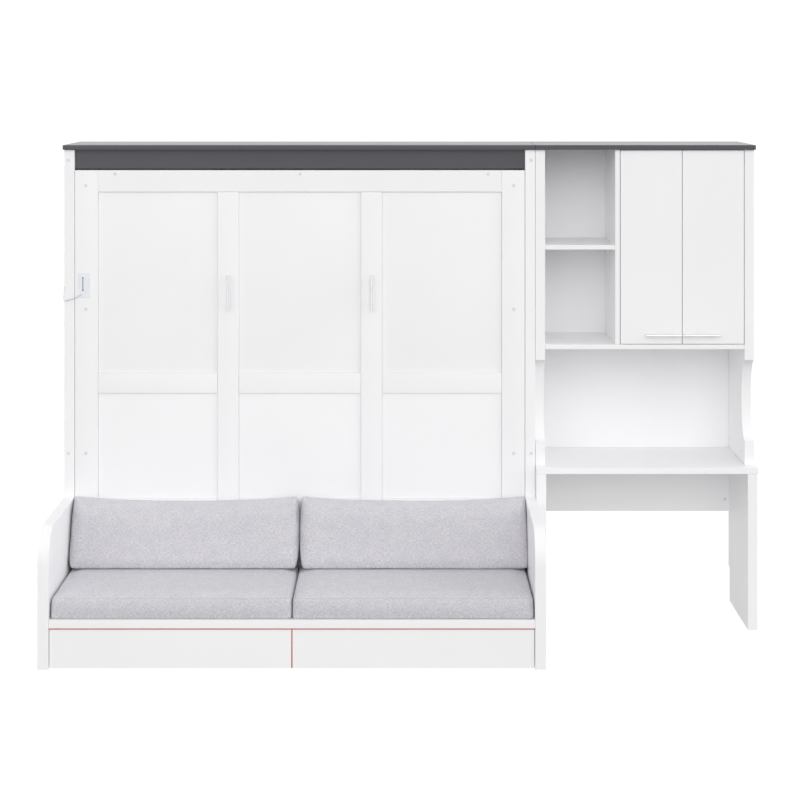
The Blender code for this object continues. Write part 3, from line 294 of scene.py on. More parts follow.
@dataclass(frozen=True)
class MelangeWeave:
    """Plain-woven polyester of mixed light and grey yarns: matt, flecked, slightly fuzzy.

    The real threads are about 1.3 mm apart and its flecks 2 mm wide. They are drawn at 2.6 mm and 3 mm
    so that they show.
    """

    SHADER: ClassVar[dict[str, float]] = {
        "Roughness": 0.96,
        "Specular IOR Level": 0.22,
        "Sheen Weight": 0.18,
        "Sheen Roughness": 0.55,
    }
    name: str
    light_hex: str
    grey_hex: str
    cool_hex: str
    warm_hex: str
    thread_mm: float = 2.6
    thread_deep_mm: float = 0.5
    thread_strength: float = 0.75
    fleck_long_mm: float = 13.0
    fleck_wide_mm: float = 3.0
    fleck_layers_apart: float = 7.0
    patch_mm: float = 46.0
    end_above: float = 0.8

    def make(self) -> Material:
        """Build the material.

        Returns:
            The finish as a material.
        """
        material, shader, place = start_material(self.name, self.SHADER)
        tree = material.node_tree
        across, climb = self.thread_places(place)
        inputs = {0: self.flecks(across, climb), 6: linear(self.grey_hex), 7: linear(self.light_hex)}
        yarn = add_node(tree, "Mix", inputs, data_type="RGBA")
        inputs = {"Vector": place, "Scale": per_metre(self.patch_mm), "Detail": 5.0, "Roughness": 0.62}
        patch = add_node(tree, "TexNoise", inputs).outputs["Fac"]
        inputs = {0: spread(patch), 6: linear(self.cool_hex), 7: linear(self.warm_hex)}
        tint = add_node(tree, "Mix", inputs, data_type="RGBA")
        inputs = {0: 1.0, 6: yarn.outputs[2], 7: tint.outputs[2]}
        dyed = add_node(tree, "Mix", inputs, data_type="RGBA", blend_type="MULTIPLY")
        weave = self.weave_height(across, climb)
        surface(shader, dyed.outputs[2], weave, self.thread_deep_mm, self.thread_strength)
        return material

    def flecks(self, across: Socket, climb: Socket) -> Socket:
        """Share of light yarn: two layers of short flecks, one along each way of the cloth.

        Args:
            across: Place across the cloth.
            climb: Place up the cloth.

        Returns:
            The share.
        """
        tree = across.id_data
        long, wide = per_metre(self.fleck_long_mm), per_metre(self.fleck_wide_mm)
        layers = []
        for scale, apart in (((long, wide, 1.0), 0.0), ((wide, long, 1.0), self.fleck_layers_apart)):
            way = add_node(tree, "CombineXYZ", {"X": across, "Y": climb, "Z": apart}).outputs[0]
            spot = add_node(tree, "VectorMath", {0: way, 1: scale}, operation="MULTIPLY").outputs[0]
            inputs = {"Vector": spot, "Scale": 1.0, "Detail": 2.0}
            layers.append(add_node(tree, "TexNoise", inputs).outputs["Fac"])
        both = add_node(tree, "Math", {0: layers[0], 1: layers[1]}, operation="ADD").outputs[0]
        return spread(add_node(tree, "Math", {0: both, 1: 0.5}, operation="MULTIPLY").outputs[0])

    def thread_places(self, place: Socket) -> tuple[Socket, Socket]:
        """Find where a point lies across and along the cloth, on a front, a top or an end.

        Args:
            place: The point on the piece.

        Returns:
            The place across and the place up the cloth.
        """
        tree = place.id_data
        point = add_node(tree, "SeparateXYZ", {0: place}).outputs
        facing = add_node(tree, "SeparateXYZ", {0: place.node.outputs["Normal"]}).outputs["X"]
        turned = add_node(tree, "Math", {0: facing}, operation="ABSOLUTE").outputs[0]
        end = add_node(tree, "Math", {0: turned, 1: self.end_above}, operation="GREATER_THAN").outputs[0]
        apart = add_node(tree, "Math", {0: point["Y"], 1: point["X"]}, operation="SUBTRACT").outputs[0]
        across = add_node(tree, "Math", {0: end, 1: apart, 2: point["X"]}, operation="MULTIPLY_ADD")
        slope = add_node(tree, "Math", {0: point["Z"], 1: point["Y"]}, operation="ADD").outputs[0]
        less = add_node(tree, "Math", {0: end, 1: point["Y"]}, operation="MULTIPLY").outputs[0]
        climb = add_node(tree, "Math", {0: slope, 1: less}, operation="SUBTRACT")
        return across.outputs[0], climb.outputs[0]

    def weave_height(self, across: Socket, climb: Socket) -> Socket:
        """Height of a plain weave, where each thread goes over one and under the next.

        Args:
            across: Place across the cloth.
            climb: Place up the cloth.

        Returns:
            The height.
        """
        tree = across.id_data
        turn = math.pi * per_metre(self.thread_mm)
        waves = {}
        for number, way in enumerate((across, climb)):
            turns = add_node(tree, "Math", {0: way, 1: turn}, operation="MULTIPLY").outputs[0]
            waves[number] = add_node(tree, "Math", {0: turns}, operation="SINE").outputs[0]
        return add_node(tree, "Math", waves, operation="MULTIPLY").outputs[0]


@dataclass(frozen=True)
class PlanedTimber:
    """Planed wood: streaks of early and late wood along the grain, with fine open fibres."""

    SHADER: ClassVar[dict[str, float]] = {"IOR": 1.5, "Specular IOR Level": 0.35}
    name: str
    light_hex: str
    dark_hex: str
    along: Along
    roughness: float = 0.58
    rough_swing: Pair = (0.08, -0.05)
    streak_mm: float = 14.0
    streak_long_mm: float = 420.0
    streak_wander: float = 0.5
    fibre_mm: float = 1.6
    fibre_long_mm: float = 70.0
    fibre_share: float = 0.35
    fibre_deep_mm: float = 0.15
    fibre_strength: float = 0.5
    tone_range: Pair = (0.5, 0.85)

    def make(self) -> Material:
        """Build the material.

        Returns:
            The finish as a material.
        """
        material, shader, place = start_material(self.name, self.SHADER)
        tree = material.node_tree
        streaks = drawn_out(place, self.along, self.streak_long_mm, self.streak_mm, 4.0, self.streak_wander)
        fibres = drawn_out(place, self.along, self.fibre_long_mm, self.fibre_mm, 3.0)
        inputs = {0: fibres, 1: self.fibre_share, 2: streaks}
        mixed = add_node(tree, "Math", inputs, operation="MULTIPLY_ADD").outputs[0]
        inputs = {"Value": mixed, "From Min": self.tone_range[0], "From Max": self.tone_range[1]}
        share = add_node(tree, "MapRange", inputs).outputs["Result"]
        inputs = {0: share, 6: linear(self.dark_hex), 7: linear(self.light_hex)}
        tone = add_node(tree, "Mix", inputs, data_type="RGBA").outputs[2]
        gloss = spread(fibres, *(self.roughness + swing for swing in self.rough_swing))
        surface(shader, tone, fibres, self.fibre_deep_mm, self.fibre_strength, gloss)
        return material


@dataclass(frozen=True)
class Grained:
    """Finish whose one fine grain varies its colour, its gloss and its relief together."""

    SHADER: ClassVar[dict[str, float]] = {}
    SHADES: ClassVar[Pair] = (1.0, 1.0)
    ROUGH_SWING: ClassVar[Pair] = (0.0, 0.0)
    DETAIL: ClassVar[float] = 3.0
    STRENGTH: ClassVar[float] = 0.5
    name: str
    hex_code: str
    roughness: float
    grain_mm: float = 2.0
    grain_deep_mm: float = 0.02

    def grain(self, place: Socket) -> Socket:
        """The grain, as a noise of its size."""
        inputs = {"Vector": place, "Scale": per_metre(self.grain_mm), "Detail": self.DETAIL}
        return add_node(place.id_data, "TexNoise", inputs).outputs["Fac"]

    def make(self) -> Material:
        """Build the material.

        Returns:
            The finish as a material.
        """
        material, shader, place = start_material(self.name, self.SHADER)
        grain = self.grain(place)
        low, high = (shaded(linear(self.hex_code), share) for share in self.SHADES)
        tone = add_node(material.node_tree, "Mix", {0: spread(grain), 6: low, 7: high}, data_type="RGBA")
        gloss = spread(grain, *(self.roughness + swing for swing in self.ROUGH_SWING))
        surface(shader, tone.outputs[2], grain, self.grain_deep_mm, self.STRENGTH, gloss)
        return material


@dataclass(frozen=True)
class BrushedMetal(Grained):
    """Plated steel with fine brush lines along one axis: bright, and duller across the lines."""

    SHADER: ClassVar[dict[str, float]] = {"Metallic": 1.0}
    SHADES: ClassVar[Pair] = (0.88, 1.0)
    ROUGH_SWING: ClassVar[Pair] = (-0.06, 0.08)
    grain_mm: float = 1.2
    grain_deep_mm: float = 0.04
    line_long_mm: float = 45.0
    along: Along = Along.Z

    def grain(self, place: Socket) -> Socket:
        """The brush lines, drawn out along the metal."""
        return drawn_out(place, self.along, self.line_long_mm, self.grain_mm, self.DETAIL)


@dataclass(frozen=True)
class SteelPaint(Grained):
    """Paint baked on steel, smooth and glossy or with the grain of a powder coat."""

    SHADER: ClassVar[dict[str, float]] = {"IOR": 1.5, "Coat Weight": 0.15, "Coat Roughness": 0.2}
    SHADES: ClassVar[Pair] = (1.0, 1.25)
    ROUGH_SWING: ClassVar[Pair] = (-0.04, 0.06)
    STRENGTH: ClassVar[float] = 0.6


@dataclass(frozen=True)
class MouldedPlastic(Grained):
    """Injection-moulded plastic with a fine spark-eroded grain: even and matt."""

    SHADER: ClassVar[dict[str, float]] = {"IOR": 1.46, "Specular IOR Level": 0.4}
    SHADES: ClassVar[Pair] = (0.93, 1.0)
    ROUGH_SWING: ClassVar[Pair] = (-0.05, 0.05)
    DETAIL: ClassVar[float] = 2.0


class Look(Enum):
    """Finish of a piece. Its material is made once, when it is first used."""

    WHITE = SprayedLacquer("white_satin_lacquer", "FBFBFC", "F9F9FA", 0.42)
    GREY = SprayedLacquer(
        "dark_grey_satin_lacquer", "4B4B51", "4A4A50", 0.26, peel_deep_mm=0.002, handled_dull=0.012
    )
    WEAVE = MelangeWeave("grey_melange_weave", "FCFBFD", "C8C8CD", "E8E8EC", "F3F1F2")
    SEAM = MelangeWeave("grey_seam_cord", "E4E4E8", "BDBDC2", "E8E9ED", "F4F2F3", thread_mm=1.6)
    PINE = PlanedTimber("planed_pine", "E0BC8A", "C0915A", Along.X)
    SLATS = PlanedTimber("birch_slats", "E4C8A0", "CFAA78", Along.Z, streak_mm=9.0)
    PLY = PlanedTimber("birch_plywood", "E2C59C", "CDA878", Along.X, streak_mm=11.0)
    WEBBING = MelangeWeave("polyester_webbing", "DADADA", "B4B4B6", "F0F0F0", "F0F0F0", thread_mm=2.0)
    ZINC = BrushedMetal("zinc_plated_steel", "C3C6CA", 0.34)
    NICKEL_UPRIGHT = BrushedMetal("satin_nickel_upright", "DFE0E2", 0.3)
    NICKEL_LEVEL = BrushedMetal("satin_nickel_level", "DFE0E2", 0.3, along=Along.X)
    NICKEL_PLATE = BrushedMetal("nickel_plated_sheet", "D5D7DC", 0.36)
    CHAIN_STEEL = BrushedMetal("nickel_plated_chain", "BEC1C5", 0.36)
    # Darker steel behind the chain plate's slot: painted shade that stands for the shadow in the slot.
    DULL_STEEL = BrushedMetal("unpolished_steel_backing", "989A9F", 0.5)
    POWDER = SteelPaint("dark_grey_powder_coat", "5C5B62", 0.5, 3.0, 0.05)
    BLACK = SteelPaint("gloss_black_paint", "26262A", 0.24, 9.0, 0.01)
    PLASTIC = MouldedPlastic("white_cap_plastic", "E9E9EA", 0.55)
    SALMON = MouldedPlastic("salmon_edge_strip", "CB4A42", 0.55)

    @cached_property
    def material(self) -> Material:
        """The finish as a material."""
        return self.value.make()


# --------------------------------------------------------------------------- shapes
BOARD_EDGE = {"segments": 3, "profile": 0.6}
ROUND_SIDES = 28
WELD_WITHIN = 0.00002
FLAT_WITHIN = math.radians(0.4)
EASED_OVER = math.radians(40)
EASE_STEPS = 2


def board_shape(low: Vector, high: Vector, eased: Eased) -> Shape:
    """A board with eased edges.

    Args:
        low: Lowest corner.
        high: Highest corner.
        eased: Radius of its edges.

    Returns:
        The board's mesh.
    """
    shape = bmesh.new()
    bmesh.ops.create_cube(shape, size=1.0)
    shape.transform(Matrix.Translation((low + high) / 2) @ Matrix.Diagonal((*(high - low), 1.0)))
    bmesh.ops.bevel(
        shape, geom=shape.edges[:], offset=eased.value / MM_IN_METRE, affect="EDGES", **BOARD_EDGE
    )
    return shape


def turned_shape(profile_mm: Sequence[Pair], sides: int = ROUND_SIDES) -> Shape:
    """A round piece about Z, closed on its axis at both ends.

    Args:
        profile_mm: (radius, height) from the back to the front.
        sides: Faces round the piece.

    Returns:
        The piece's mesh.
    """
    shape = bmesh.new()
    rings = []
    for radius, height in profile_mm:
        z = height / MM_IN_METRE
        if radius == 0:
            rings.append([shape.verts.new((0.0, 0.0, z))])
            continue
        angles = [math.tau * k / sides for k in range(sides)]
        ring = [(radius * math.cos(a) / MM_IN_METRE, radius * math.sin(a) / MM_IN_METRE, z) for a in angles]
        rings.append([shape.verts.new(point) for point in ring])
    for lower, upper in zip(rings, rings[1:]):
        for k in range(sides):
            low = [lower[n % len(lower)] for n in (k, (k + 1) % sides)]
            high = [upper[n % len(upper)] for n in ((k + 1) % sides, k)]
            shape.faces.new(list(dict.fromkeys(low + high)))
    return shape


def arc(x: float, z: float, radius: float, start: float, sweep: float, steps: int) -> list[Pair]:
    """Points of an arc in the XZ plane about (x, z), by angles in degrees."""
    turns = [math.radians(start + sweep * k / steps) for k in range(steps + 1)]
    return [(x + radius * math.cos(turn), z + radius * math.sin(turn)) for turn in turns]


def linked(name: str, data: bpy.types.ID) -> bpy.types.Object:
    """Put an object with this mesh, lamp or camera into the scene.

    Args:
        name: The object's name.
        data: Its mesh, lamp or camera.

    Returns:
        The object.
    """
    made = bpy.data.objects.new(name, data)
    bpy.context.scene.collection.objects.link(made)
    return made


def meshed(name: str, shape: Shape) -> bpy.types.Mesh:
    """Turn a shape into a mesh, and let go of the shape.

    Args:
        name: The mesh's name.
        shape: The shape, which can't be used afterwards.

    Returns:
        The mesh.
    """
    mesh = bpy.data.meshes.new(name)
    shape.to_mesh(mesh)
    shape.free()
    return mesh


def joined(shapes: Sequence[Shape]) -> Shape:
    """Put several loose shapes into one.

    Args:
        shapes: The shapes, which can't be used afterwards.

    Returns:
        The one shape.
    """
    whole = bmesh.new()
    for shape in shapes:
        part = meshed("part", shape)
        whole.from_mesh(part)
        bpy.data.meshes.remove(part)
    return whole


def pierced_plate(outline: Sequence[Pair], hole: Sequence[Pair], thick: float) -> Shape:
    """A flat plate in the XZ plane with a hole through it, from y = 0 back to its thickness.

    Args:
        outline: Outer (x, z) points in order.
        hole: The (x, z) points of the hole.
        thick: Thickness of the plate.

    Returns:
        The plate's mesh.
    """
    triangles = tessellate_polygon([[Vector((x, z, 0.0)) for x, z in loop] for loop in (outline, hole)])
    shape = bmesh.new()
    front, back = ([shape.verts.new((x, y, z)) for x, z in (*outline, *hole)] for y in (0.0, thick))
    for layer in (front, back):
        for triangle in triangles:
            shape.faces.new([layer[i] for i in triangle])
    for start, count in ((0, len(outline)), (len(outline), len(hole))):
        for i in range(count):
            a, b = start + i, start + (i + 1) % count
            shape.faces.new((front[a], front[b], back[b], back[a]))
    return shape


def round_bar(points: Sequence[Vector], radius: float) -> bpy.types.Mesh:
    """A closed round cord through the points, as a mesh.

    Args:
        points: Points of its middle line, in order.
        radius: Radius of the cord.

    Returns:
        The cord's mesh.
    """
    curve = bpy.data.curves.new("bar", "CURVE")
    curve.dimensions = "3D"
    curve.bevel_depth = radius
    curve.bevel_resolution = 2
    spline = curve.splines.new("POLY")
    spline.points.add(len(points) - 1)
    spline.points.foreach_set("co", [c for p in points for c in (*p, 1.0)])
    spline.use_cyclic_u = True
    holder = bpy.data.objects.new("bar", curve)
    mesh = bpy.data.meshes.new_from_object(holder)
    bpy.data.objects.remove(holder)
    bpy.data.curves.remove(curve)
    return mesh


def ease_edges(piece: bpy.types.Object, width: float, over: float = EASED_OVER) -> None:
    """Ease a piece's edges.

    Args:
        piece: The piece.
        width: Width of its eased edges.
        over: Edges sharper than this many radians are eased.
    """
    edge = piece.modifiers.new("eased_edges", "BEVEL")
    edge.width = width
    edge.segments = EASE_STEPS
    edge.limit_method = "ANGLE"
    edge.angle_limit = over


@dataclass(frozen=True)
class Piece:
    """How a new piece belongs to the object."""

    name: str
    body: str
    slot: str
    stands_for: tuple[str, ...] = ()

    def add(
        self, shape: Shape | bpy.types.Mesh, look: Look, smooth_below: float = 40.0
    ) -> bpy.types.Object:
        """Make the piece, dress it and let it ride on its body.

        Args:
            shape: Its mesh, in the frame's coordinates.
            look: Its finish.
            smooth_below: Edges flatter than this many degrees are shaded smooth.

        Returns:
            The new object.
        """
        mesh = shape
        if isinstance(shape, Shape):
            bmesh.ops.recalc_face_normals(shape, faces=shape.faces[:])
            mesh = meshed(self.name, shape)
        mesh.name = self.name
        mesh.materials.clear()
        mesh.materials.append(look.material)
        mesh.shade_smooth()
        mesh.set_sharp_from_angle(angle=math.radians(smooth_below))
        made = linked(self.name, mesh)
        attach(made, self.body)
        if self.stands_for:
            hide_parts(*self.stands_for)
        LOG.info("piece %-28s rides on %-14s %6d faces", self.name, self.body, len(mesh.polygons))
        return made


def dress(look: Look, eased: Eased, *nodes: str) -> None:
    """Give CAD nodes their finish and ease their edges.

    Args:
        look: Their finish.
        eased: Width of their eased edges.
        *nodes: Names of the CAD nodes.
    """
    for node in nodes:
        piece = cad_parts[node]
        if not piece.material_slots:
            piece.data.materials.append(look.material)
        for slot in piece.material_slots:
            slot.material = look.material
        piece.modifiers.new("weld", "WELD").merge_threshold = WELD_WITHIN
        plain = piece.modifiers.new("whole_faces", "DECIMATE")
        plain.decimate_type = "DISSOLVE"
        plain.angle_limit = FLAT_WITHIN
        ease_edges(piece, eased.value / MM_IN_METRE)
        piece.modifiers.new("face_shading", "WEIGHTED_NORMAL").keep_sharp = False
        LOG.info("node  %-28s in %s", node, look.material.name)


@dataclass(frozen=True)
class JointedBoard:
    """Board that stands for a CAD board, with its sides set for the joints that show round it."""

    node: str
    name: str
    body: str
    slot: str
    eased: Eased
    in_low: float = 0.0
    in_high: float = 0.0

    def add(self, look: Look) -> None:
        """Cut the board to its width across the object, and add it.

        Args:
            look: Its finish.
        """
        low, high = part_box(self.node)
        low, high = low + Vector((self.in_low, 0, 0)), high - Vector((self.in_high, 0, 0))
        board = Piece(self.name, self.body, self.slot, (self.node,))
        board.add(board_shape(low, high, self.eased), look)


# --------------------------------------------------------------------------- small fittings
@dataclass(frozen=True)
class ScrewCap:
    """White push-in cap over a screw, a thin domed disc with a shallow dish in its middle."""

    radius_mm: float = 8.2
    proud_mm: float = 0.9
    crown: tuple[Pair, ...] = ((0.35, 0.8), (1.0, 1.0))
    dish: tuple[Pair, ...] = ((0.45, 0.0), (0.36, 0.18), (0.0, 0.22))

    def press(self, name: str, body: str, spot: Vector, turn: Matrix) -> None:
        """Press the cap onto a face.

        Args:
            name: The piece's name.
            body: Body that it rides on.
            spot: Middle of its seat.
            turn: Turn from +Z to the way the face looks.
        """
        r, h = self.radius_mm, self.proud_mm
        profile = [(0, 0), (r, 0), (r, h * 0.45)]
        profile += [(r - inwards, h * share) for inwards, share in self.crown]
        profile += [(r * share, h - down) for share, down in self.dish]
        shape = turned_shape(profile)
        shape.transform(Matrix.Translation(spot) @ turn)
        Piece(name, body, "white_board").add(shape, Look.PLASTIC)


@dataclass(frozen=True)
class PanelScrews:
    """Pan-head screws with a round recess, which hold a thin back panel round its edge."""

    ends: Pair
    heights: Pair
    columns: int
    rows: int
    back_face: float = 0.366
    radius_mm: float = 3.6
    proud_mm: float = 1.7
    recess_mm: float = 0.7
    shares: tuple[Pair, ...] = ((1.0, 0.0), (1.0, 0.4), (0.8, 0.85), (0.5, 1.0), (0.2, 1.0))
    sides: int = 20
    smooth_below: float = 50.0

    def spots(self) -> list[Vector]:
        """Middles of the screws' seats, on a face that looks at the wall.

        Returns:
            The middles, above and below first and then at both sides.
        """
        (left, right), (low, high) = self.ends, self.heights
        found = []
        for i in range(self.columns + 1):
            x = left + (right - left) * i / self.columns
            found += [at(x, self.back_face, z) for z in self.heights]
        for i in range(1, self.rows):
            z = low + (high - low) * i / self.rows
            found += [at(x, self.back_face, z) for x in self.ends]
        return found

    def drive(self, name: str) -> None:
        """Drive the screws in, as one piece of this name.

        Args:
            name: The piece's name.
        """
        profile = [(0, 0)] + [(self.radius_mm * wide, self.proud_mm * high) for wide, high in self.shares]
        profile.append((0, self.proud_mm - self.recess_mm))
        heads = []
        for spot in self.spots():
            head = turned_shape(profile, self.sides)
            head.transform(Matrix.Translation(spot) @ Matrix.Rotation(-QUARTER, 4, "X"))
            heads.append(head)
        Piece(name, "cabinet", "zinc_steel").add(joined(heads), Look.ZINC, self.smooth_below)


@dataclass(frozen=True)
class ChainLink:
    """One welded link of a fine steel chain."""

    wire_mm: float = 1.25
    long_mm: float = 8.6
    wide_mm: float = 5.2
    steps: int = 7
    sides: int = 7

    @property
    def pitch(self) -> float:
        """Distance from one link to the next."""
        return (self.long_mm - 2 * self.wire_mm) / MM_IN_METRE

    def shape(self, middle: Vector, along: Vector, flat: Vector) -> Shape:
        """A link in its place.

        Args:
            middle: Its middle.
            along: Direction that it hangs in.
            flat: Direction that its flat side faces.

        Returns:
            The link's mesh.
        """
        wire, wide, long = (mm / 2 / MM_IN_METRE for mm in (self.wire_mm, self.wide_mm, self.long_mm))
        bend = wide - wire
        across = flat.cross(along).normalized()
        shape = bmesh.new()
        rings = []
        for half in (1, -1):
            for k in range(self.steps):
                angle = math.pi * k / (self.steps - 1) - math.pi / 2
                out = (along * math.cos(angle) + across * math.sin(angle)) * half
                centre = middle + along * (half * (long - wide)) + out * bend
                turns = [math.tau * s / self.sides for s in range(self.sides)]
                ring = [centre + (out * math.cos(a) + flat * math.sin(a)) * wire for a in turns]
                rings.append([shape.verts.new(point) for point in ring])
        for first, second in zip(rings, rings[1:] + rings[:1]):
            for s in range(self.sides):
                j = (s + 1) % self.sides
                shape.faces.new((first[s], first[j], second[j], second[s]))
        return shape


def evenly(route: Sequence[Vector], pitch: float) -> list[tuple[Vector, Vector]]:
    """Walk a route in equal steps.

    Args:
        route: Points of the route.
        pitch: Length of a step.

    Returns:
        The middle and the direction of each step.
    """
    lengths = [0.0]
    for first, second in zip(route, route[1:]):
        lengths.append(lengths[-1] + (second - first).length)
    count = max(1, round(lengths[-1] / pitch))
    found = []
    for i in range(count):
        want = lengths[-1] * (i + 0.5) / count
        k = max(j for j in range(len(route) - 1) if lengths[j] <= want)
        way = (route[k + 1] - route[k]).normalized()
        found.append((route[k] + way * (want - lengths[k]), way))
    return found


# --------------------------------------------------------------------------- sub-assemblies
def add_board(name: str, body: str, low: Vector, high: Vector, eased: Eased) -> None:
    """Add a white lacquered board between two corners."""
    Piece(name, body, "white_board").add(board_shape(low, high, eased), Look.WHITE)


def press_cap(name: str, body: str, x: float, y: float, z: float) -> None:
    """Press a screw cap onto a face that looks at the room."""
    ScrewCap().press(name, body, at(x, y, z), Matrix.Rotation(QUARTER, 4, "X"))


@dataclass
class BedCabinet:
    """Shallow cabinet round the bed: sides, stiles, cap, header, back and wall rail."""

    cap_out: float = 1.079
    cap_heights: Pair = (2.169, 0.8025)
    line: float = 0.0010
    screws: PanelScrews = PanelScrews((-1.064, 1.064), (0.012, 2.206), 8, 9)

    def build(self) -> None:
        """Dress the cabinet's boards and add its caps and screws."""
        for side in Side:
            dress(Look.WHITE, Eased.CABINET, f"bed_side_{side.word}")
            dress(Look.ZINC, Eased.PLATE, f"pivot_plate_{side.word}")
            for number, height in enumerate(self.cap_heights):
                name = f"stile_cap_{side.word}_{number + 1}"
                press_cap(name, "cabinet", side.value * self.cap_out, 0.0, height)
        dress(Look.WHITE, Eased.PANEL, "bed_back_panel", "lower_front_panel")
        dress(Look.PINE, Eased.WALL_RAIL, "wall_rail")
        dress(Look.GREY, Eased.INNER, "header_board")
        dress(Look.WHITE, Eased.CABINET, "front_stile_left")
        for node, name, slot, look in (
            ("front_stile_right", "cabinet_stile_right", "white_board", Look.WHITE),
            ("bed_cap", "bed_cap_board", "dark_board", Look.GREY),
        ):
            JointedBoard(node, name, "cabinet", slot, Eased.CABINET, 0.0, self.line).add(look)
        self.screws.drive("bed_back_screws")


@dataclass
class BedFront:
    """Front of the bed: stiles, rails and recessed fields, with handles and screw caps."""

    bottom: float = 0.530
    panel_top: float = 2.0207
    field_half: float = 0.9406
    mid_stile_out: float = 0.334
    mid_stile_half: float = 0.049
    mid_rail: Pair = (1.0832, 1.1764)
    bottom_rail_top: float = 0.590
    recess: float = 0.008
    board: float = 0.018
    joint: float = 0.0010
    groove: float = 0.0013
    groove_bottom: float = 0.0106
    seat: float = 0.0003
    stile_wider: float = -0.0017
    stile_cap_out: float = 0.9973
    stile_cap_heights: tuple[float, float, float] = (2.0505, 1.474, 0.8025)
    rail_cap_places: tuple[float, float, float] = (-0.861, 0.0014, 0.878)
    rail_cap_height: float = 2.105

    def build(self) -> None:
        """Dress the front's boards and build the framed panel."""
        for side in Side:
            ends = (self.stile_wider, 0.0) if side is Side.LEFT else (0.0, self.stile_wider)
            node, name = f"face_stile_{side.word}", f"face_outer_stile_{side.word}"
            JointedBoard(node, name, "bed", "white_board", Eased.FACE, *ends).add(Look.WHITE)
            dress(Look.NICKEL_UPRIGHT, Eased.BAR, f"bed_handle_{side.word}")
        dress(Look.WHITE, Eased.FACE, "face_top_rail")
        self.build_panel()
        self.place_caps()

    def columns(self, gap: float) -> tuple[Pair, Pair, Pair]:
        """Left and right end of what lies in the three columns, a gap away from the mid stiles.

        Args:
            gap: Gap to each mid stile.

        Returns:
            The two ends of the left, the middle and the right column.
        """
        inner = self.mid_stile_out - self.mid_stile_half
        outer = self.mid_stile_out + self.mid_stile_half
        return (-self.field_half, -outer - gap), (-inner + gap, inner - gap), (outer + gap, self.field_half)

    def build_panel(self) -> None:
        """Backing board with two mid stiles, the rails between them and six fields, each its own board.

        A routed groove runs between each field and the frame round it.
        """
        low = at(-self.field_half, self.groove_bottom, self.bottom)
        high = at(self.field_half, self.board, self.panel_top)
        backing = Piece("face_backing", "bed", "white_board", ("face_panel",))
        backing.add(board_shape(low, high, Eased.FIELD), Look.WHITE)
        back = self.groove_bottom - self.seat
        for side in Side:
            half, x = self.mid_stile_half, side.value * self.mid_stile_out
            low, high = at(x - half, 0.0, self.bottom), at(x + half, back, self.panel_top)
            add_board(f"face_mid_stile_{side.word}", "bed", low, high, Eased.FRAME)
        bottom_rail = (self.bottom, self.bottom_rail_top)
        low_row = (self.bottom_rail_top + self.groove, self.mid_rail[0] - self.groove)
        high_row = (self.mid_rail[1] + self.groove, self.panel_top)
        for word, z, front, gap, eased in (
            ("mid_rail", self.mid_rail, 0.0, self.joint, Eased.FRAME),
            ("bottom_rail", bottom_rail, 0.0, self.joint, Eased.FRAME),
            ("field_low", low_row, self.recess, self.groove, Eased.FIELD),
            ("field_high", high_row, self.recess, self.groove, Eased.FIELD),
        ):
            for number, x in enumerate(self.columns(gap)):
                low, high = at(x[0], front, z[0]), at(x[1], back, z[1])
                add_board(f"face_{word}_{number + 1}", "bed", low, high, eased)

    def place_caps(self) -> None:
        """Caps over the screws that hold the front on the bed box."""
        for side in Side:
            for number, height in enumerate(self.stile_cap_heights):
                name = f"face_cap_{side.word}_{number + 1}"
                press_cap(name, "bed", side.value * self.stile_cap_out, 0.0, height)
        for number, x in enumerate(self.rail_cap_places):
            press_cap(f"rail_cap_{number + 1}", "bed", x, 0.0, self.rail_cap_height)


@dataclass
class BedBox:
    """Bed box behind the front: rails, beam, slats on webbing, legs and gas springs."""

    slat_count: int = 22
    slat_wide: float = 0.060
    slat_deep: float = 0.010
    slat_front: float = 0.0396
    slat_rows: Pair = (0.556, 2.096)
    half_length: float = 1.0225
    webbing_shares: Pair = (0.25, 0.75)
    webbing_wide: float = 0.040
    webbing_thick: float = 0.0016
    webbing_clear: float = 0.0001

    def build(self) -> None:
        """Dress the box, its legs and its springs, and build the slats."""
        for word in ("left", "right", "top", "bottom"):
            dress(Look.WHITE, Eased.BED_BOX, f"bed_rail_{word}")
        dress(Look.PINE, Eased.BED_BOX, "bed_mid_beam")
        for side in Side:
            dress(Look.POWDER, Eased.PANEL, f"fold_leg_{side.word}")
            dress(Look.BLACK, Eased.BAR, f"spring_cylinder_{side.word}")
            dress(Look.ZINC, Eased.ROD, f"spring_rod_{side.word}")
        self.build_slats()

    def build_slats(self) -> None:
        """Birch slats, and the webbing bands that run along them."""
        pitch = 2 * self.half_length / self.slat_count
        half = self.slat_wide / 2
        foot, head = self.slat_rows
        back = self.slat_front + self.slat_deep
        front = back - self.webbing_thick
        slats = []
        for i in range(self.slat_count):
            x = -self.half_length + pitch * (i + 0.5)
            low, high = at(x - half, self.slat_front, foot), at(x + half, front, head)
            slats.append(board_shape(low, high, Eased.SLAT))
        Piece("slats", "bed", "birch_ply", ("slat_roll",)).add(joined(slats), Look.SLATS)
        run, wide = self.half_length - pitch / 2 + half, self.webbing_wide / 2
        for number, share in enumerate(self.webbing_shares):
            z = foot + (head - foot) * share
            low, high = at(-run, front + self.webbing_clear, z - wide), at(run, back, z + wide)
            band = board_shape(low, high, Eased.FIELD)
            Piece(f"slat_webbing_{number + 1}", "bed", "birch_ply").add(band, Look.WEBBING)


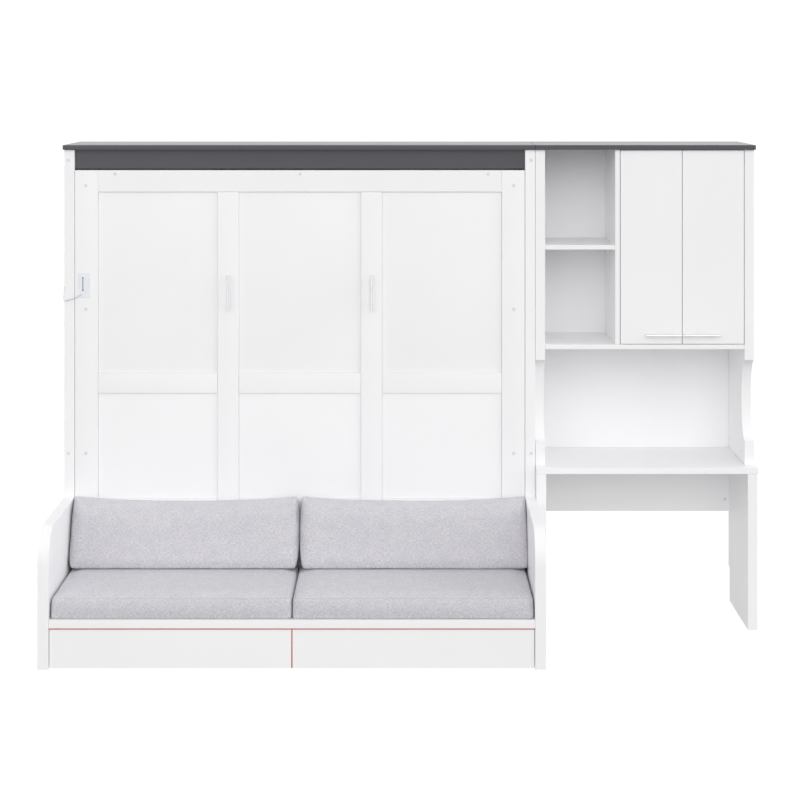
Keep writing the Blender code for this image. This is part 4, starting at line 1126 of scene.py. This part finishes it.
@dataclass
class SafetyChain:
    """Chain from an anchor on the cabinet's outer side to a knob in a slotted plate on the bed."""

    link: ChainLink = field(default_factory=ChainLink)
    anchor: tuple[float, float, float] = (-1.0983, 0.014, 1.577)
    turn: tuple[float, float, float] = (-1.1007, -0.0052, 1.5145)
    turn_clear: Pair = (0.004, 0.002)
    knob: tuple[float, float, float] = (-1.0225, -0.0052, 1.5405)
    knob_seat: float = -0.0019
    knob_clear: float = 0.002
    sag: float = 0.006
    open_x: float = -1.04875
    open_half: float = 0.0012
    plate_low: Pair = (-1.0325, 1.529)
    plate_size: Pair = (0.052, 0.114)
    plate_thick: float = 0.0017
    plate_seat: float = 0.0002
    plate_eased: float = 0.0003
    plate_eased_over: float = math.radians(30)
    corner: float = 0.004
    corner_steps: int = 5
    slot_in: float = 0.0215
    slot_run: Pair = (0.034, 0.091)
    slot_half: float = 0.0024
    eye_radius: float = 0.0048
    eye_steps: int = 14
    well_out: Pair = (0.007, 0.006)
    well_depths: Pair = (-0.0003, -0.0001)
    side_off: float = 0.0029
    route_steps: int = 24
    smooth_below: float = 60.0
    knob_mm: tuple[Pair, ...] = (
        (0, 0), (2.2, 0), (2.2, 1.6), (4.0, 1.9), (4.3, 2.9), (3.9, 4.0), (2.4, 4.6), (0, 4.7),
    )
    dome_mm: tuple[Pair, ...] = (
        (0, 0), (9.0, 0), (9.0, 0.6), (7.6, 1.2), (4.2, 1.5), (3.4, 2.4), (1.6, 2.9), (0, 3.0),
    )

    def build(self) -> None:
        """Build the plate, its knob, the anchor and the links."""
        self.build_plate()
        self.build_anchor()
        self.build_links()

    def plate_outline(self) -> list[Pair]:
        """Rounded outline of the plate.

        Returns:
            Its (x, z) points in order.
        """
        low_x, low_z = (low + self.corner for low in self.plate_low)
        high_x, high_z = (low + size - self.corner for low, size in zip(self.plate_low, self.plate_size))
        points = []
        middles = ((high_x, high_z), (low_x, high_z), (low_x, low_z), (high_x, low_z))
        for number, (x, z) in enumerate(middles):
            points += arc(x, z, self.corner, 90 * number, 90, self.corner_steps)
        return points

    def slot_outline(self) -> list[Pair]:
        """Slot with a round eye at each end.

        Returns:
            Its (x, z) points in order.
        """
        x = self.plate_low[0] + self.slot_in
        low, high = (self.plate_low[1] + run for run in self.slot_run)
        half = math.degrees(math.asin(self.slot_half / self.eye_radius))
        points = []
        for z, start in ((high, -90 + half), (low, 90 + half)):
            points += arc(x, z, self.eye_radius, start, 360 - 2 * half, self.eye_steps)
        return points

    def build_plate(self) -> None:
        """Slotted plate, proud of the bed's stile, with a darker steel well behind its slot as painted
        shade, and the knob.
        """
        plate = pierced_plate(self.plate_outline(), self.slot_outline(), self.plate_thick)
        plate.transform(Matrix.Translation(at(0, -self.plate_thick - self.plate_seat, 0)))
        piece = Piece("chain_plate", "bed", "satin_nickel", ("lock_plate",))
        ease_edges(piece.add(plate, Look.NICKEL_PLATE), self.plate_eased, self.plate_eased_over)
        x = self.plate_low[0] + self.slot_in
        low, high = (self.plate_low[1] + run for run in self.slot_run)
        wide, tall = self.well_out
        front, back = self.well_depths
        # The well is a darker steel sheet behind the slot: painted shade that stands for the slot's shadow.
        well = board_shape(at(x - wide, front, low - tall), at(x + wide, back, high + tall), Eased.BACKING)
        Piece("chain_plate_well", "bed", "satin_nickel").add(well, Look.DULL_STEEL)
        knob = turned_shape(self.knob_mm)
        spot = at(self.knob[0], self.knob_seat, self.knob[2])
        knob.transform(Matrix.Translation(spot) @ Matrix.Rotation(QUARTER, 4, "X"))
        Piece("chain_knob", "bed", "satin_nickel").add(knob, Look.CHAIN_STEEL)

    def build_anchor(self) -> None:
        """Domed anchor plate on the cabinet's outer side."""
        x, y, z = self.anchor
        dome = turned_shape(self.dome_mm)
        seat = Matrix.Translation(at(x + self.plate_seat, y, z))
        dome.transform(seat @ Matrix.Rotation(-QUARTER, 4, "Y"))
        anchor = Piece("chain_anchor_dome", "cabinet", "satin_nickel", ("chain_anchor",))
        anchor.add(dome, Look.CHAIN_STEEL)

    def front_route(self, low_x: float, high_x: float) -> list[Vector]:
        """Points of the front run between two places across the cabinet.

        Args:
            low_x: The left place.
            high_x: The right place.

        Returns:
            The points, from left to right.
        """
        turn, knob = at(*self.turn), at(*self.knob)
        points = []
        for i in range(self.route_steps + 1):
            x = low_x + (high_x - low_x) * i / self.route_steps
            share = (x - self.turn[0]) / (self.knob[0] - self.turn[0])
            points.append(turn.lerp(knob, share) - Vector((0, 0, self.sag * 4 * share * (1 - share))))
        return points

    def side_route(self) -> list[Vector]:
        """Points of the run down the cabinet's outer side, which leans to the front at its foot.

        Returns:
            The points, from the anchor down.
        """
        x, y, z = self.anchor
        end_y, end_z = (end + clear for end, clear in zip(self.turn[1:], self.turn_clear))
        shares = [i / self.route_steps for i in range(self.route_steps + 1)]
        return [at(x - self.side_off, y + (end_y - y) * s * s, z + (end_z - z) * s) for s in shares]

    def hang(self, route: Sequence[Vector], flat: Vector, piece: Piece) -> None:
        """Hang links along a route, every second one turned a quarter.

        Args:
            route: Points that the chain follows.
            flat: Direction that the first link's flat side faces.
            piece: The links' piece.
        """
        links = []
        for number, (middle, way) in enumerate(evenly(route, self.link.pitch)):
            face = (flat - way * flat.dot(way)).normalized()
            if number % 2:
                face = way.cross(face).normalized()
            links.append(self.link.shape(middle, way, face))
        piece.add(joined(links), Look.CHAIN_STEEL, self.smooth_below)

    def build_links(self) -> None:
        """The side run, the front run and the last links by the knob."""
        side, front = Vector((1, 0, 0)), Vector((0, 1, 0))
        self.hang(self.side_route(), side, Piece("chain_links_side", "cabinet", "satin_nickel"))
        run = self.front_route(self.turn[0], self.open_x - self.open_half)
        self.hang(run, front, Piece("chain_links_front", "chain", "satin_nickel", ("safety_chain",)))
        run = self.front_route(self.open_x + self.open_half, self.knob[0] - self.knob_clear)
        self.hang(run, front, Piece("chain_links_last", "bed", "satin_nickel"))


# --------------------------------------------------------------------------- cushions
EDGE_LINES = 4
SWELLS_A_METRE = 5.5
DENTS_A_METRE = 17
DENT_SHARE = 0.3
SEED_SKEW = 1.7
SMOOTH_ALL = 180.0
AT_FACE = 0.999
Loop = tuple[int, int]  # axis of a block's face, and 0 or 1 for its low or its high end


@dataclass(frozen=True)
class Net:
    """Quad net over a block: its points as shares of the block, its faces and its sewn edges."""

    shares: Points
    faces: list[tuple[int, ...]]
    loops: dict[Loop, list[int]]


def net_lines(length: float, edge: float, pitch: float) -> np.ndarray:
    """Places of the net's lines on one axis, closer together near both ends.

    Args:
        length: Length of the block on that axis.
        edge: How far the closer lines reach in from each end.
        pitch: Distance between the lines in the middle.

    Returns:
        The places, as shares of the length.
    """
    ends = edge * np.arange(EDGE_LINES) / EDGE_LINES
    count = max(2, round((length - 2 * edge) / pitch))
    middle = np.linspace(edge, length - edge, count + 1)
    return np.concatenate([ends, middle, length - ends[::-1]]) / length


def block_net(size: Vector, edge: float, pitch: float) -> Net:
    """Lay a net of quads over a block.

    Args:
        size: The block's sides.
        edge: Depth of the rounded edges.
        pitch: Size of a quad in the middle of a face.

    Returns:
        The net, with the loop of edges round each of its six faces.
    """
    lines = [net_lines(side, edge, pitch) for side in size]
    last = [len(line) - 1 for line in lines]
    numbers: dict[tuple[int, ...], int] = {}

    def number(key: tuple[int, ...]) -> int:
        """Number of the point at this crossing, which is added at its first use."""
        return numbers.setdefault(key, len(numbers))

    faces, loops = [], {}
    for axis in range(3):
        one, two = (axis + 1) % 3, (axis + 2) % 3
        for end in (0, last[axis]):

            def corner(i: int, j: int) -> int:
                """Point of this face at two line numbers.

                Args:
                    i: Number of the line on the face's first axis.
                    j: Number of the line on its second axis.

                Returns:
                    The point's number.
                """
                key = [0, 0, 0]
                key[axis], key[one], key[two] = end, i, j
                return number(tuple(key))

            for i in range(last[one]):
                for j in range(last[two]):
                    quad = (corner(i, j), corner(i + 1, j), corner(i + 1, j + 1), corner(i, j + 1))
                    faces.append(quad if end else quad[::-1])
            path = [(i, 0) for i in range(last[one])] + [(last[one], j) for j in range(last[two])]
            path += [(i, last[two]) for i in range(last[one], 0, -1)]
            path += [(0, j) for j in range(last[two], 0, -1)]
            loops[(axis, 1 if end else 0)] = [corner(i, j) for i, j in path]
    shares = np.array([[lines[a][key[a]] for a in range(3)] for key in numbers])
    return Net(shares, faces, loops)


def rounded_block(shares: Points, size: Vector, radius: np.ndarray) -> Points:
    """Round the edges of a block.

    Args:
        shares: Points on the block's faces, as shares.
        size: Its sides.
        radius: Radii on x, y and z of the edges near each point.

    Returns:
        The points in metres from the block's lowest corner.
    """
    points = shares * np.array(size)
    core = np.clip(points, radius, np.array(size) - radius)
    out = (points - core) / radius
    return core + out / np.linalg.norm(out, axis=1, keepdims=True) * radius


@dataclass(frozen=True)
class Padding:
    """How the foam of a cushion fills its cover in the cloth simulation."""

    pitch: float = 0.015
    edge: float = 0.018
    pressure: float = 4.0
    cap: float = 0.006
    frames: int = 20
    quality: int = 5
    cover_mass: float = 0.35
    stretch_stiffness: float = 20.0
    bend_stiffness: float = 1.5
    least_move: float = 1e-9

    def fill(self, net: Net, start: Points, pins: np.ndarray) -> Points:
        """Puff the cover out between its seams.

        Args:
            net: The cover's net.
            start: Its points before the foam is in.
            pins: True where the cover is sewn or rests on something.

        Returns:
            The settled points.
        """
        scene = bpy.context.scene
        holder = cover_of(net.faces, start)
        group = holder.vertex_groups.new(name="sewn")
        group.add(np.nonzero(pins)[0].tolist(), 1.0, "REPLACE")
        cloth = holder.modifiers.new("foam", "CLOTH")
        settings = cloth.settings
        settings.quality = self.quality
        settings.mass = self.cover_mass
        settings.tension_stiffness = settings.compression_stiffness = self.stretch_stiffness
        settings.bending_stiffness = self.bend_stiffness
        settings.use_pressure = True
        settings.uniform_pressure_force = self.pressure
        settings.vertex_group_mass = "sewn"
        settings.effector_weights.gravity = 0
        cloth.point_cache.frame_start = 1
        cloth.point_cache.frame_end = self.frames
        for frame_number in range(1, self.frames + 1):
            scene.frame_set(frame_number)
        settled = read_points(evaluated(holder))
        scene.frame_set(1)
        bpy.data.objects.remove(holder)
        moved = settled - start
        length = np.linalg.norm(moved, axis=1, keepdims=True)
        return start + moved * np.minimum(1, self.cap / np.maximum(length, self.least_move))


def cover_of(faces: Sequence[tuple[int, ...]], points: Points) -> bpy.types.Object:
    """A working object of the cover, for its modifiers.

    Args:
        faces: The cover's faces, as numbers of its points.
        points: Its points.

    Returns:
        The object.
    """
    mesh = bpy.data.meshes.new("cover")
    mesh.from_pydata(points.tolist(), [], faces)
    return linked("cover", mesh)


def evaluated(holder: bpy.types.Object) -> bpy.types.Mesh:
    """The object's mesh after its modifiers."""
    graph = bpy.context.evaluated_depsgraph_get()
    return bpy.data.meshes.new_from_object(holder.evaluated_get(graph), depsgraph=graph)


def read_points(mesh: bpy.types.Mesh) -> Points:
    """The mesh's points as rows of x, y and z.

    Args:
        mesh: The mesh.

    Returns:
        The rows.
    """
    flat = np.zeros(len(mesh.vertices) * 3)
    mesh.vertices.foreach_get("co", flat)
    return flat.reshape(-1, 3)


def refined(net: Net, points: Points, mirrored: bool) -> bpy.types.Mesh:
    """Make a mesh of the net and divide it once.

    The first points of the result are the net's own, in their order.

    Args:
        net: The cover's net.
        points: Its points.
        mirrored: Whether the points were mirrored, so that the faces have to turn.

    Returns:
        The finer mesh.
    """
    holder = cover_of([face[::-1] for face in net.faces] if mirrored else net.faces, points)
    finer = holder.modifiers.new("finer", "SUBSURF")
    finer.levels = finer.render_levels = 1
    result = evaluated(holder)
    bpy.data.objects.remove(holder)
    return result


def wrinkled(mesh: bpy.types.Mesh, seed: float, deep: float) -> Points:
    """Uneven the cover a little, as stuffed foam does.

    Args:
        mesh: The cover.
        seed: Place in the noise, so that no two cushions are the same.
        deep: Height of the widest swells.

    Returns:
        The cover's new points.
    """
    points = read_points(mesh)
    normals = np.zeros(len(mesh.vertices) * 3)
    mesh.vertices.foreach_get("normal", normals)
    away = Vector((seed, seed * SEED_SKEW, 0.0))
    swell = [
        noise.noise(Vector(p) * SWELLS_A_METRE + away)
        + DENT_SHARE * noise.noise(Vector(p) * DENTS_A_METRE + away)
        for p in points
    ]
    return points + normals.reshape(-1, 3) * (np.array(swell) * deep)[:, None]


@dataclass
class Cushion:
    """Foam cushion in a woven cover that is sewn round one or two of its faces.

    The cover is shaped and filled for the left cushion of a pair, and the right one mirrors it.
    """

    KIND: ClassVar[str]
    NET_OVER: ClassVar[str]
    RIDES_ON: ClassVar[str]
    SEWN: ClassVar[dict[str, Loop]]
    side: Side
    padding: Padding = field(default_factory=Padding)
    seam_radius: float = 0.0012
    seam_sunk: float = 0.45
    swell: float = 0.0014
    seed: float = 0.0
    arm_inner: float = 0.0
    pair_middle: float = 0.0
    pair_gap: float = 0.0
    back_lean: Pair = (0.0, 0.0)
    puff_room: tuple[float, float, float] = (0.0, 0.0, 0.0)

    def start(self, shares: Points, low: Vector, high: Vector) -> Points:
        """Shape of the empty cover of the left cushion.

        Args:
            shares: The net's points, as shares of the block.
            low: Lowest corner of the left cushion's CAD box.
            high: Highest corner.

        Returns:
            The cover's points.
        """
        raise NotImplementedError

    def resting(self, shares: Points) -> np.ndarray:
        """True where the cover rests on something."""
        raise NotImplementedError

    def build(self) -> None:
        """Fill the cover, and sew it."""
        low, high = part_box(self.NET_OVER.format(self.side.word))
        net = block_net(high - low, self.padding.edge, self.padding.pitch)
        low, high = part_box(f"{self.KIND}_cushion_left")
        pins = self.resting(net.shares)
        for loop in self.SEWN.values():
            pins[net.loops[loop]] = True
        points = self.padding.fill(net, self.start(net.shares, low, high), pins)
        lean = self.back_lean[0]
        if self.side is Side.RIGHT:
            points[:, 0] = 2 * (MIDDLE.x + self.pair_middle) - points[:, 0]
            lean = self.back_lean[1]
        points[:, 0] += lean * net.shares[:, 1] * net.shares[:, 2] ** 4
        self.sew(net, points)

    def sew(self, net: Net, points: Points) -> None:
        """Add the cover and its seams.

        Args:
            net: The cover's net.
            points: Its points, in the frame's coordinates.
        """
        node, body = f"{self.KIND}_cushion_{self.side.word}", self.RIDES_ON.format(self.side.word)
        mesh = refined(net, points, self.side is Side.RIGHT)
        shape = self.trim(wrinkled(mesh, self.seed + self.side.value, self.swell), *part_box(node))
        mesh.vertices.foreach_set("co", shape.ravel())
        mesh.update()
        normals = [v.normal.copy() for v in mesh.vertices]
        radius, sunk = self.seam_radius, self.seam_sunk
        seams = {
            word: [Vector(shape[i]) - normals[i] * radius * sunk for i in net.loops[loop]]
            for word, loop in self.SEWN.items()
        }
        cover = Piece(f"{self.KIND}_pad_{self.side.word}", body, "melange_fabric", (node,))
        cover.add(mesh, Look.WEAVE, SMOOTH_ALL)
        for word, path in seams.items():
            cord = Piece(f"{self.KIND}_pad_seam_{word}_{self.side.word}", body, "melange_fabric")
            cord.add(round_bar(path, radius), Look.SEAM, SMOOTH_ALL)

    def trim(self, points: Points, low: Vector, high: Vector) -> Points:
        """Keep the cover clear of the arm, the other cushion and the boards round it.

        Args:
            points: The cover's points.
            low: Lowest corner of the cushion's CAD box.
            high: Highest corner.

        Returns:
            The points, moved in where they were outside.
        """
        front, back, top = self.puff_room
        ends = (self.side.value * self.arm_inner, self.pair_middle + self.side.value * self.pair_gap)
        near, far = sorted(ends)
        points[:, 0] = np.clip(points[:, 0], near + MIDDLE.x, far + MIDDLE.x)
        points[:, 1] = np.clip(points[:, 1], low.y - front, high.y + back)
        points[:, 2] = np.clip(points[:, 2], low.z, high.z + top)
        return points


@dataclass
class SeatCushion(Cushion):
    """Flat seat cushion, sewn round its top and its underside."""

    KIND: ClassVar[str] = "seat"
    NET_OVER: ClassVar[str] = "seat_cushion_{}"
    RIDES_ON: ClassVar[str] = "cabinet"
    SEWN: ClassVar[dict[str, Loop]] = {"top": (2, 1), "bottom": (2, 0)}
    seed: float = 3.1
    arm_inner: float = 1.0496
    pair_gap: float = 0.0009
    puff_room: tuple[float, float, float] = (0.006, 0.001, 0.0)
    low_radius: float = 0.011
    high_radius: float = 0.030
    side_bulge: float = 0.0022
    front_bulge: float = 0.0030

    def start(self, shares: Points, low: Vector, high: Vector) -> Points:
        """Block with rounded edges, which bulges a little at its front and its ends.

        Args:
            shares: The net's points, as shares of the block.
            low: Lowest corner of the left cushion's CAD box.
            high: Highest corner.

        Returns:
            The cover's points.
        """
        size = high - low - Vector((0.0, 0.0, self.padding.cap))
        climb = shares[:, 2]
        radius = self.low_radius + (self.high_radius - self.low_radius) * climb
        points = rounded_block(shares, size, np.stack([radius] * 3, axis=1)) + np.array(low)
        across, along = 2 * shares[:, 0] - 1, 2 * shares[:, 1] - 1
        band = 4 * climb * (1 - climb)
        ends, front = np.abs(across) > AT_FACE, along < -AT_FACE
        points[:, 0] += self.side_bulge * np.sign(across) * ends * band * (1 - along**4)
        points[:, 1] -= self.front_bulge * front * band * (1 - across**4)
        return points

    def resting(self, shares: Points) -> np.ndarray:
        """True on the underside, which rests on the seat board."""
        return shares[:, 2] == 0


@dataclass
class BackCushion(Cushion):
    """Wedge-shaped back cushion, sewn round its back, with pointed upper corners.

    The ends are given at the foot, the middle and the top, for the front and for the back, as places
    across the bed unit. They are those of the left cushion, and the right one mirrors them.
    """

    KIND: ClassVar[str] = "back"
    NET_OVER: ClassVar[str] = "back_cushion_left"
    RIDES_ON: ClassVar[str] = "cushion_{}"
    SEWN: ClassVar[dict[str, Loop]] = {"back": (1, 1)}
    seed: float = 8.4
    arm_inner: float = 1.0497
    pair_middle: float = 0.0065
    pair_gap: float = 0.0003
    back_lean: Pair = (-0.004, -0.010)
    puff_room: tuple[float, float, float] = (0.011, 0.0, 0.006)
    foot_deep: float = 0.190
    top_deep: float = 0.112
    back_radius: float = 0.005
    end_radii: Pair = (0.020, 0.026)
    front_radii: Pair = (0.036, 0.046)
    top_dip: float = 0.021
    dip_power: float = 2.2
    top_rise: float = 0.005
    outer_front: tuple[float, ...] = (-1.0410, -1.0400, -1.0290)
    outer_back: tuple[float, ...] = (-1.0440, -1.0455, -1.0465)
    inner_front: tuple[float, ...] = (-0.0030, 0.0052, -0.0064)
    inner_back: tuple[float, ...] = (-0.0060, 0.0000, -0.0100)
    end_knots: tuple[float, ...] = (0.0, 0.55, 1.0)

    def start(self, shares: Points, low: Vector, high: Vector) -> Points:
        """Wedge with a dipped upper edge between its two corners.

        Args:
            shares: The net's points, as shares of the block.
            low: Lowest corner of the left cushion's CAD box.
            high: Highest corner.

        Returns:
            The cover's points.
        """
        size = high - low
        near = 1 - shares[:, 1]
        radii = []
        for foot, top in (self.end_radii, self.front_radii, self.front_radii):
            front = foot + (top - foot) * shares[:, 2] ** 2
            radii.append(self.back_radius + (front - self.back_radius) * near)
        share = rounded_block(shares, size, np.stack(radii, axis=1)) / np.array(size)
        climb, near = share[:, 2], 1 - share[:, 1]
        ends = []
        for places in ((self.outer_front, self.outer_back), (self.inner_front, self.inner_back)):
            front, back = (np.interp(climb, self.end_knots, place) for place in places)
            ends.append(front * near + back * (1 - near))
        across = 2 * share[:, 0] - 1
        points = np.empty_like(share)
        points[:, 0] = ends[0] + (ends[1] - ends[0]) * share[:, 0] + MIDDLE.x
        points[:, 1] = high.y - near * (self.foot_deep + (self.top_deep - self.foot_deep) * climb)
        dip = self.top_dip * (1 - np.abs(across) ** self.dip_power) * climb**3
        points[:, 2] = low.z + climb * (size.z + self.top_rise) - dip
        return points

    def resting(self, shares: Points) -> np.ndarray:
        """True on the back and the underside, which lean on the bed and stand on the seat cushion."""
        return (shares[:, 1] == 1) | (shares[:, 2] == 0)


@dataclass
class SofaBase:
    """Arms, seat board, divider, drawers and the coloured strip in the drawers' gaps."""

    strip_half: float = 1.0502
    strip_heights: Pair = (0.005, 0.1767)
    strip_high: float = 0.0045
    strip_wide: float = 0.004
    level_front: float = -0.553
    upright_front: float = -0.5506
    strip_back: float = -0.5303

    def build(self) -> None:
        """Dress the base and its drawers."""
        for side in Side:
            dress(Look.WHITE, Eased.DESK, f"sofa_arm_{side.word}")
            dress(Look.WHITE, Eased.FRONT, f"drawer_front_{side.word}")
            dress(Look.PLY, Eased.BAR, f"drawer_box_{side.word}")
        dress(Look.WHITE, Eased.FRAME, "seat_board")
        dress(Look.WHITE, Eased.INNER, "base_divider")
        self.build_strip()

    def build_strip(self) -> None:
        """Coloured strip under the seat board and between the drawers, one T-shaped edging."""
        under, over = self.strip_heights
        bend = over - self.strip_high
        shapes = []
        for half, front, low, high in (
            (self.strip_half, self.level_front, bend, over),
            (self.strip_wide / 2, self.upright_front, under, bend),
        ):
            shapes.append(board_shape(at(-half, front, low), at(half, self.strip_back, high), Eased.PLATE))
        strip = Piece("drawer_gap_edging", "cabinet", "salmon_strip", ("drawer_gap_strip",))
        strip.add(joined(shapes), Look.SALMON)


@dataclass
class Hutch:
    """Hutch over the desk: scooped sides, open cubbies, two doors with bar handles."""

    screws: PanelScrews = PanelScrews((1.152, 2.0645), (0.758, 2.206), 4, 6)
    side_cap_x: float = 2.0733
    side_caps: tuple[Pair, ...] = ((0.332, 0.799), (0.057, 0.800))

    def build(self) -> None:
        """Dress the hutch, and add the caps and the screws."""
        white = Look.WHITE
        dress(white, Eased.CABINET, "hutch_side_left", "hutch_side_right")
        dress(white, Eased.INNER, "hutch_divider", "hutch_shelf", "hutch_bottom", "hutch_back_panel")
        dress(Look.GREY, Eased.CABINET, "hutch_cap")
        for side in Side:
            dress(white, Eased.FRONT, f"hutch_door_{side.word}")
            dress(Look.NICKEL_LEVEL, Eased.BAR, f"door_handle_{side.word}")
        turn = Matrix.Rotation(-QUARTER, 4, "Y")
        for number, place in enumerate(self.side_caps):
            name, spot = f"hutch_side_cap_{number + 1}", at(self.side_cap_x, *place)
            ScrewCap().press(name, "cabinet", spot, turn)
        self.screws.drive("hutch_back_screws")


@dataclass
class Desk:
    """Desk top on two panel legs, with a modesty panel between them."""

    panel_front: float = 0.345
    cap_places: Pair = (1.165, 2.0516)
    cap_height: float = 0.499

    def build(self) -> None:
        """Dress the desk and cap its screws."""
        dress(Look.WHITE, Eased.DESK, "desk_top", "desk_leg_left", "desk_leg_right")
        dress(Look.WHITE, Eased.FRONT, "modesty_panel")
        for number, x in enumerate(self.cap_places):
            press_cap(f"modesty_cap_{number + 1}", "cabinet", x, self.panel_front, self.cap_height)


# --------------------------------------------------------------------------- studio
@dataclass(frozen=True)
class SoftSun:
    """Far soft light from one direction, so that it falls evenly on the whole object.

    The azimuth is measured from straight ahead of the object towards its right, and the height from
    level, in degrees. The spread is how wide the light looks, and the strength is in watts a square metre.
    """

    name: str
    azimuth: float
    height: float
    spread: float
    strength: float
    aim: tuple[float, float, float] = (0.5, 0.0, 1.0)
    distance: float = 9.0

    def hang(self) -> None:
        """Add the light."""
        lamp = bpy.data.lights.new(self.name, "SUN")
        lamp.angle = math.radians(self.spread)
        lamp.energy = self.strength
        holder = linked(self.name, lamp)
        turn, rise = math.radians(self.azimuth), math.radians(self.height)
        away = Vector((math.sin(turn) * math.cos(rise), -math.cos(turn) * math.cos(rise), math.sin(rise)))
        holder.location = at(*self.aim) + away * self.distance
        holder.rotation_mode = "QUATERNION"
        holder.rotation_quaternion = (-away).to_track_quat("-Z", "Y")


@dataclass
class Studio:
    """Pale floor, white surroundings, soft lights and the photograph's camera."""

    eye: tuple[float, float, float] = (0.467, -7.5, 2.571)
    lens_mm: float = 72.4
    sensor_mm: float = 36.0
    sees_to: float = 200.0
    shift_down: float = 0.4075
    seen_sky: float = 1.05
    sky_above: float = 0.68
    sky_below: float = 0.32
    horizon: float = 0.1
    floor_glow: float = 0.93
    floor_hexes: tuple[str, str] = ("6E6E6E", "707070")
    floor_half: float = 90.0
    floor_clear: float = 0.0005
    mottles_a_metre: float = 1.4
    lights: tuple[SoftSun, ...] = (
        SoftSun("front_light", 10.0, 28.0, 44.0, 0.60),
        SoftSun("side_light", 85.0, 8.0, 70.0, 1.60),
        SoftSun("left_light", -36.0, 14.0, 44.0, 0.52),
    )

    def build(self) -> None:
        """Set up the camera, the surroundings, the lights and the floor."""
        self.add_camera()
        self.add_surroundings()
        for light in self.lights:
            light.hang()
        self.add_floor()

    def add_camera(self) -> None:
        """Level camera with its view shifted down, as the photograph's upright edges show."""
        lens = bpy.data.cameras.new("photo_camera")
        lens.lens = self.lens_mm
        lens.sensor_width = self.sensor_mm
        lens.shift_y = -self.shift_down
        lens.clip_end = self.sees_to
        holder = linked("photo_camera", lens)
        holder.location = at(*self.eye)
        holder.rotation_euler = (QUARTER, 0.0, 0.0)
        bpy.context.scene.camera = holder

    def add_surroundings(self) -> None:
        """White surroundings, dimmer for soft light than for sight and gloss, and a plain view."""
        scene = bpy.context.scene
        scene.view_settings.view_transform = "Standard"
        scene.view_settings.look = "None"
        world = bpy.data.worlds.new("white_studio")
        world.use_nodes = True
        tree = world.node_tree
        ray = add_node(tree, "LightPath").outputs
        rays = {0: ray["Is Camera Ray"], 1: ray["Is Glossy Ray"]}
        seen = add_node(tree, "Math", rays, operation="MAXIMUM")
        way = add_node(tree, "TexCoord").outputs["Generated"]
        rise = add_node(tree, "SeparateXYZ", {0: way}).outputs["Z"]
        reach = {"Value": rise, "From Min": -self.horizon, "From Max": self.horizon}
        soft = add_node(tree, "MapRange", reach | {"To Min": self.sky_below, "To Max": self.sky_above})
        reach = {"Value": seen.outputs[0], "To Min": soft.outputs["Result"], "To Max": self.seen_sky}
        strength = add_node(tree, "MapRange", reach)
        tree.links.new(strength.outputs["Result"], tree.nodes["Background"].inputs["Strength"])
        tree.nodes["Background"].inputs["Color"].default_value = PURE_WHITE
        scene.world = world

    def add_floor(self) -> None:
        """Wide matt floor, lit from under as a light table, with a faint mottle."""
        values = {
            "Roughness": 0.9,
            "Specular IOR Level": 0.1,
            "Emission Color": PURE_WHITE,
            "Emission Strength": self.floor_glow,
        }
        material, shader, place = start_material("pale_studio_floor", values)
        tree = material.node_tree
        inputs = {"Vector": place, "Scale": self.mottles_a_metre, "Detail": 2.0}
        mottle = add_node(tree, "TexNoise", inputs).outputs["Fac"]
        shades = {0: mottle, 6: linear(self.floor_hexes[0]), 7: linear(self.floor_hexes[1])}
        tone = add_node(tree, "Mix", shades, data_type="RGBA")
        tree.links.new(tone.outputs[2], shader.inputs["Base Color"])
        shape = bmesh.new()
        bmesh.ops.create_grid(shape, x_segments=4, y_segments=4, size=self.floor_half)
        shape.transform(Matrix.Translation((0.0, 0.0, -self.floor_clear)))
        floor = linked("studio_floor", meshed("studio_floor", shape))
        floor.data.materials.append(material)
        floor.visible_diffuse = False


def main() -> None:
    """Build the object's looks in order, and report them."""
    logging.basicConfig(level=logging.INFO, format="%(message)s")
    Studio().build()
    for assembly in (
        BedCabinet(),
        BedFront(),
        BedBox(),
        SafetyChain(),
        SofaBase(),
        *(SeatCushion(side) for side in Side),
        *(BackCushion(side) for side in Side),
        Hutch(),
        Desk(),
    ):
        assembly.build()
        LOG.info("built %s", type(assembly).__name__)


if __name__ == "__main__":
    main()
